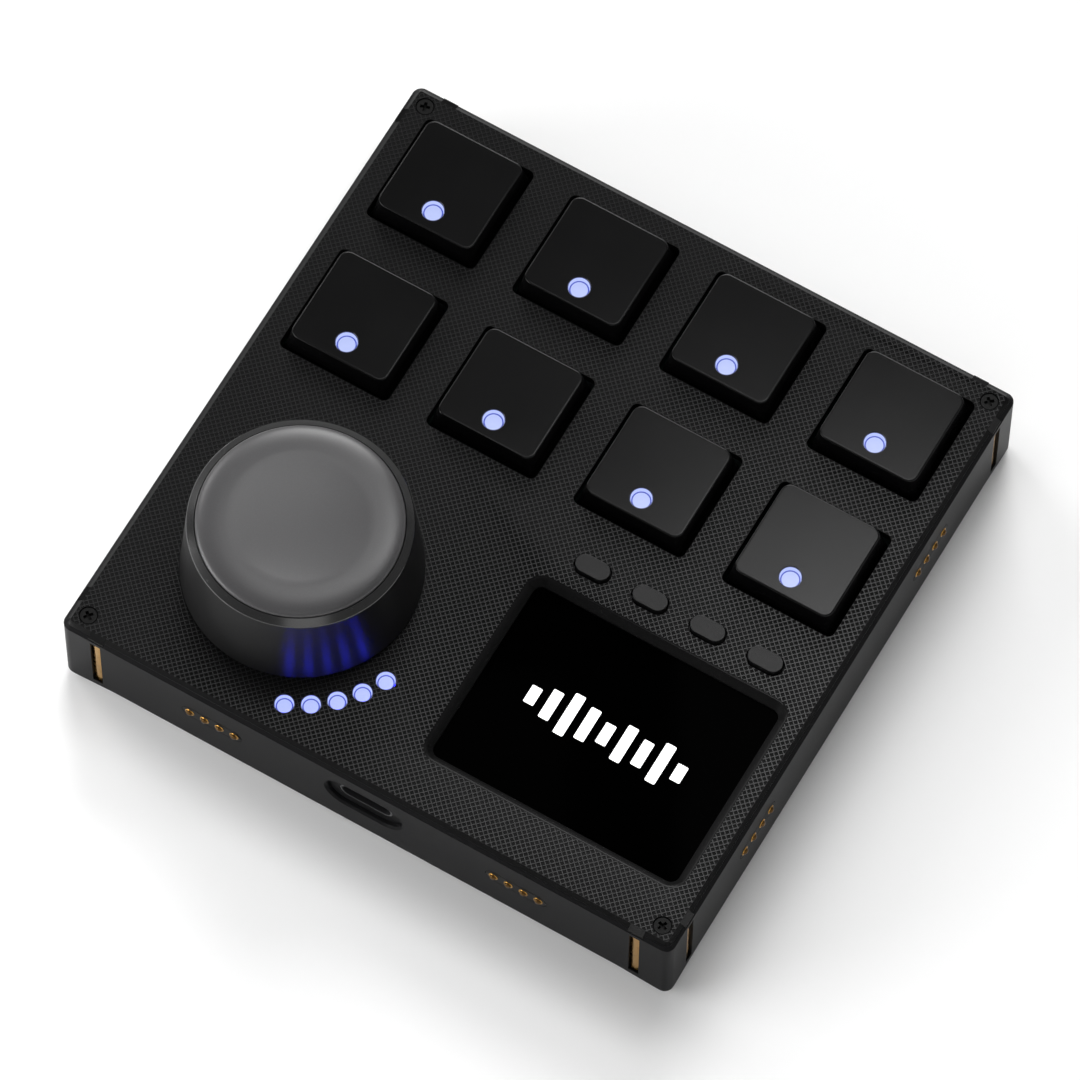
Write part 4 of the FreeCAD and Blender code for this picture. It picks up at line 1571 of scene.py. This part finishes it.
@dataclass(frozen=True)
class Lamp:
    """One soft light."""

    name: str
    place: tuple[float, float, float]
    aim: tuple[float, float, float]
    size: Point
    power: float

    def build(self) -> None:
        """Hang the light."""
        data = bpy.data.lights.new(self.name, "AREA")
        data.shape = "RECTANGLE"
        data.size, data.size_y = self.size
        lamp = hang(self.name, data, self.power, Vector(self.aim) - Vector(self.place))
        lamp.location = self.place
        lamp.visible_camera = False


@dataclass(frozen=True)
class Ray:
    """One broad, distant soft light."""

    name: str
    source: tuple[float, float, float]
    spread: float
    strength: float

    def build(self) -> None:
        """Hang the light."""
        data = bpy.data.lights.new(self.name, "SUN")
        data.angle = math.radians(self.spread)
        hang(self.name, data, self.strength, -Vector(self.source))


@dataclass
class Studio:
    """The floor with its backdrop, the lights and the camera."""

    floor_radius: float = 2.6
    floor_rings: Point = (0.3, 1.0)
    floor_gap: float = 0.00002
    floor_depth: float = 0.02
    bend: float = 0.5
    wall_height: float = 1.2
    box_offset: tuple[float, float, float] = (-0.0565, 0.0991, 0.27)
    box_side: float = 0.08
    sky_level: float = 0.24
    lens: float = 311.38
    sensor: float = 36.0
    eye: tuple[float, float, float] = (0.28727, -0.50424, 1.27711)

    def build(self) -> None:
        """Set the stage."""
        self.floor()
        lights = (Ray("back_key", (-0.35, 0.8, 0.5), 30.0, 2.4),
                  Ray("left_key", (-0.85, 0.3, 0.42), 25.0, 1.1),
                  self.softbox("right_softbox", (0.08, -0.01), 0.18),
                  self.softbox("front_softbox", (0.005, -0.08), 0.09),
                  Lamp("front_card", (0.29, -0.49, 0.84), (0, 0, 0), (0.4, 0.4), 0.5),
                  Lamp("corner_card", (-0.25, -0.22, 0.12), (-0.08, -0.08, 0), (0.25, 0.08), 0.7))
        for light in lights:
            light.build()
        self.sky()
        self.camera()

    def softbox(self, name: str, spot: Point, power: float) -> Lamp:
        """A small softbox that level faces near a spot mirror towards the front.

        Args:
            name: The light's name.
            spot: The spot on the top, in metres.
            power: Its power in watts.

        Returns:
            The lamp.
        """
        x, y = spot
        over_x, over_y, height = self.box_offset
        return Lamp(name, (x + over_x, y + over_y, height), (x, y, 0.02),
                    (self.box_side, self.box_side), power)

    def floor(self) -> None:
        """A pale floor that curves up into a backdrop."""
        sketch = Sketch()
        top, foot, bend = -self.floor_gap, -self.floor_depth, self.bend
        reach = self.floor_radius + bend
        profile = [(radius, top) for radius in (0, *self.floor_rings, self.floor_radius)]
        profile += arc((self.floor_radius, bend), bend, -90, 0, 8)[1:]
        profile += [(reach, self.wall_height), (reach - foot, self.wall_height),
                    (reach - foot, foot), (0, foot)]
        sketch.turned(profile, count=96)
        sketch.made("studio_floor", self.pale())

    def pale(self) -> bpy.types.Material:
        """The floor's finish: matt and nearly white."""
        graph = Graph("studio_white")
        drift = graph.noise(2.0, 1.0)
        return graph.surface(
            Base_Color=graph.blend(drift, (0.94, 0.94, 0.94), (0.95, 0.95, 0.95)),
            Roughness=0.9,
            Specular_IOR_Level=0.0)

    def sky(self) -> None:
        """A dim even sky."""
        world = bpy.data.worlds.new("studio_sky")
        bpy.context.scene.world = world
        world.use_nodes = True
        backdrop = world.node_tree.nodes["Background"]
        backdrop.inputs["Color"].default_value = (1, 1, 1, 1)
        backdrop.inputs["Strength"].default_value = self.sky_level

    def camera(self) -> None:
        """The camera at the photograph's angle."""
        data = bpy.data.cameras.new("camera")
        data.sensor_fit = "HORIZONTAL"
        data.sensor_width = self.sensor
        data.lens = self.lens
        data.clip_start = 0.01
        data.clip_end = 50.0
        camera = placed("camera", data)
        right = Vector((0.86386662, 0.50370086, 0.00446249))
        up = Vector((-0.45981553, 0.78492234, 0.41529098))
        back = Vector((0.20567971, -0.36080794, 0.90967768))
        turned = Matrix((right, up, back)).transposed().to_4x4()
        camera.matrix_world = Matrix.Translation(self.eye) @ turned
        bpy.context.scene.camera = camera


def main() -> None:
    """Build every sub-assembly round the frame, and light it."""
    logging.basicConfig(level=logging.INFO, format="%(message)s")
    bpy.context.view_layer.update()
    bench = Bench(frame["nodes"])
    for part in (Housing(), FacePlate(), KeyBank(), DialKnob(), DialLights(), Screen(), ButtonRow(),
                 CornerMagnets(), DockContacts(), PowerSocket(), Feet(), Interior()):
        part.build(bench)
    Studio().build()
    bpy.context.scene.view_settings.view_transform = "Standard"


if __name__ == "__main__":
    main()
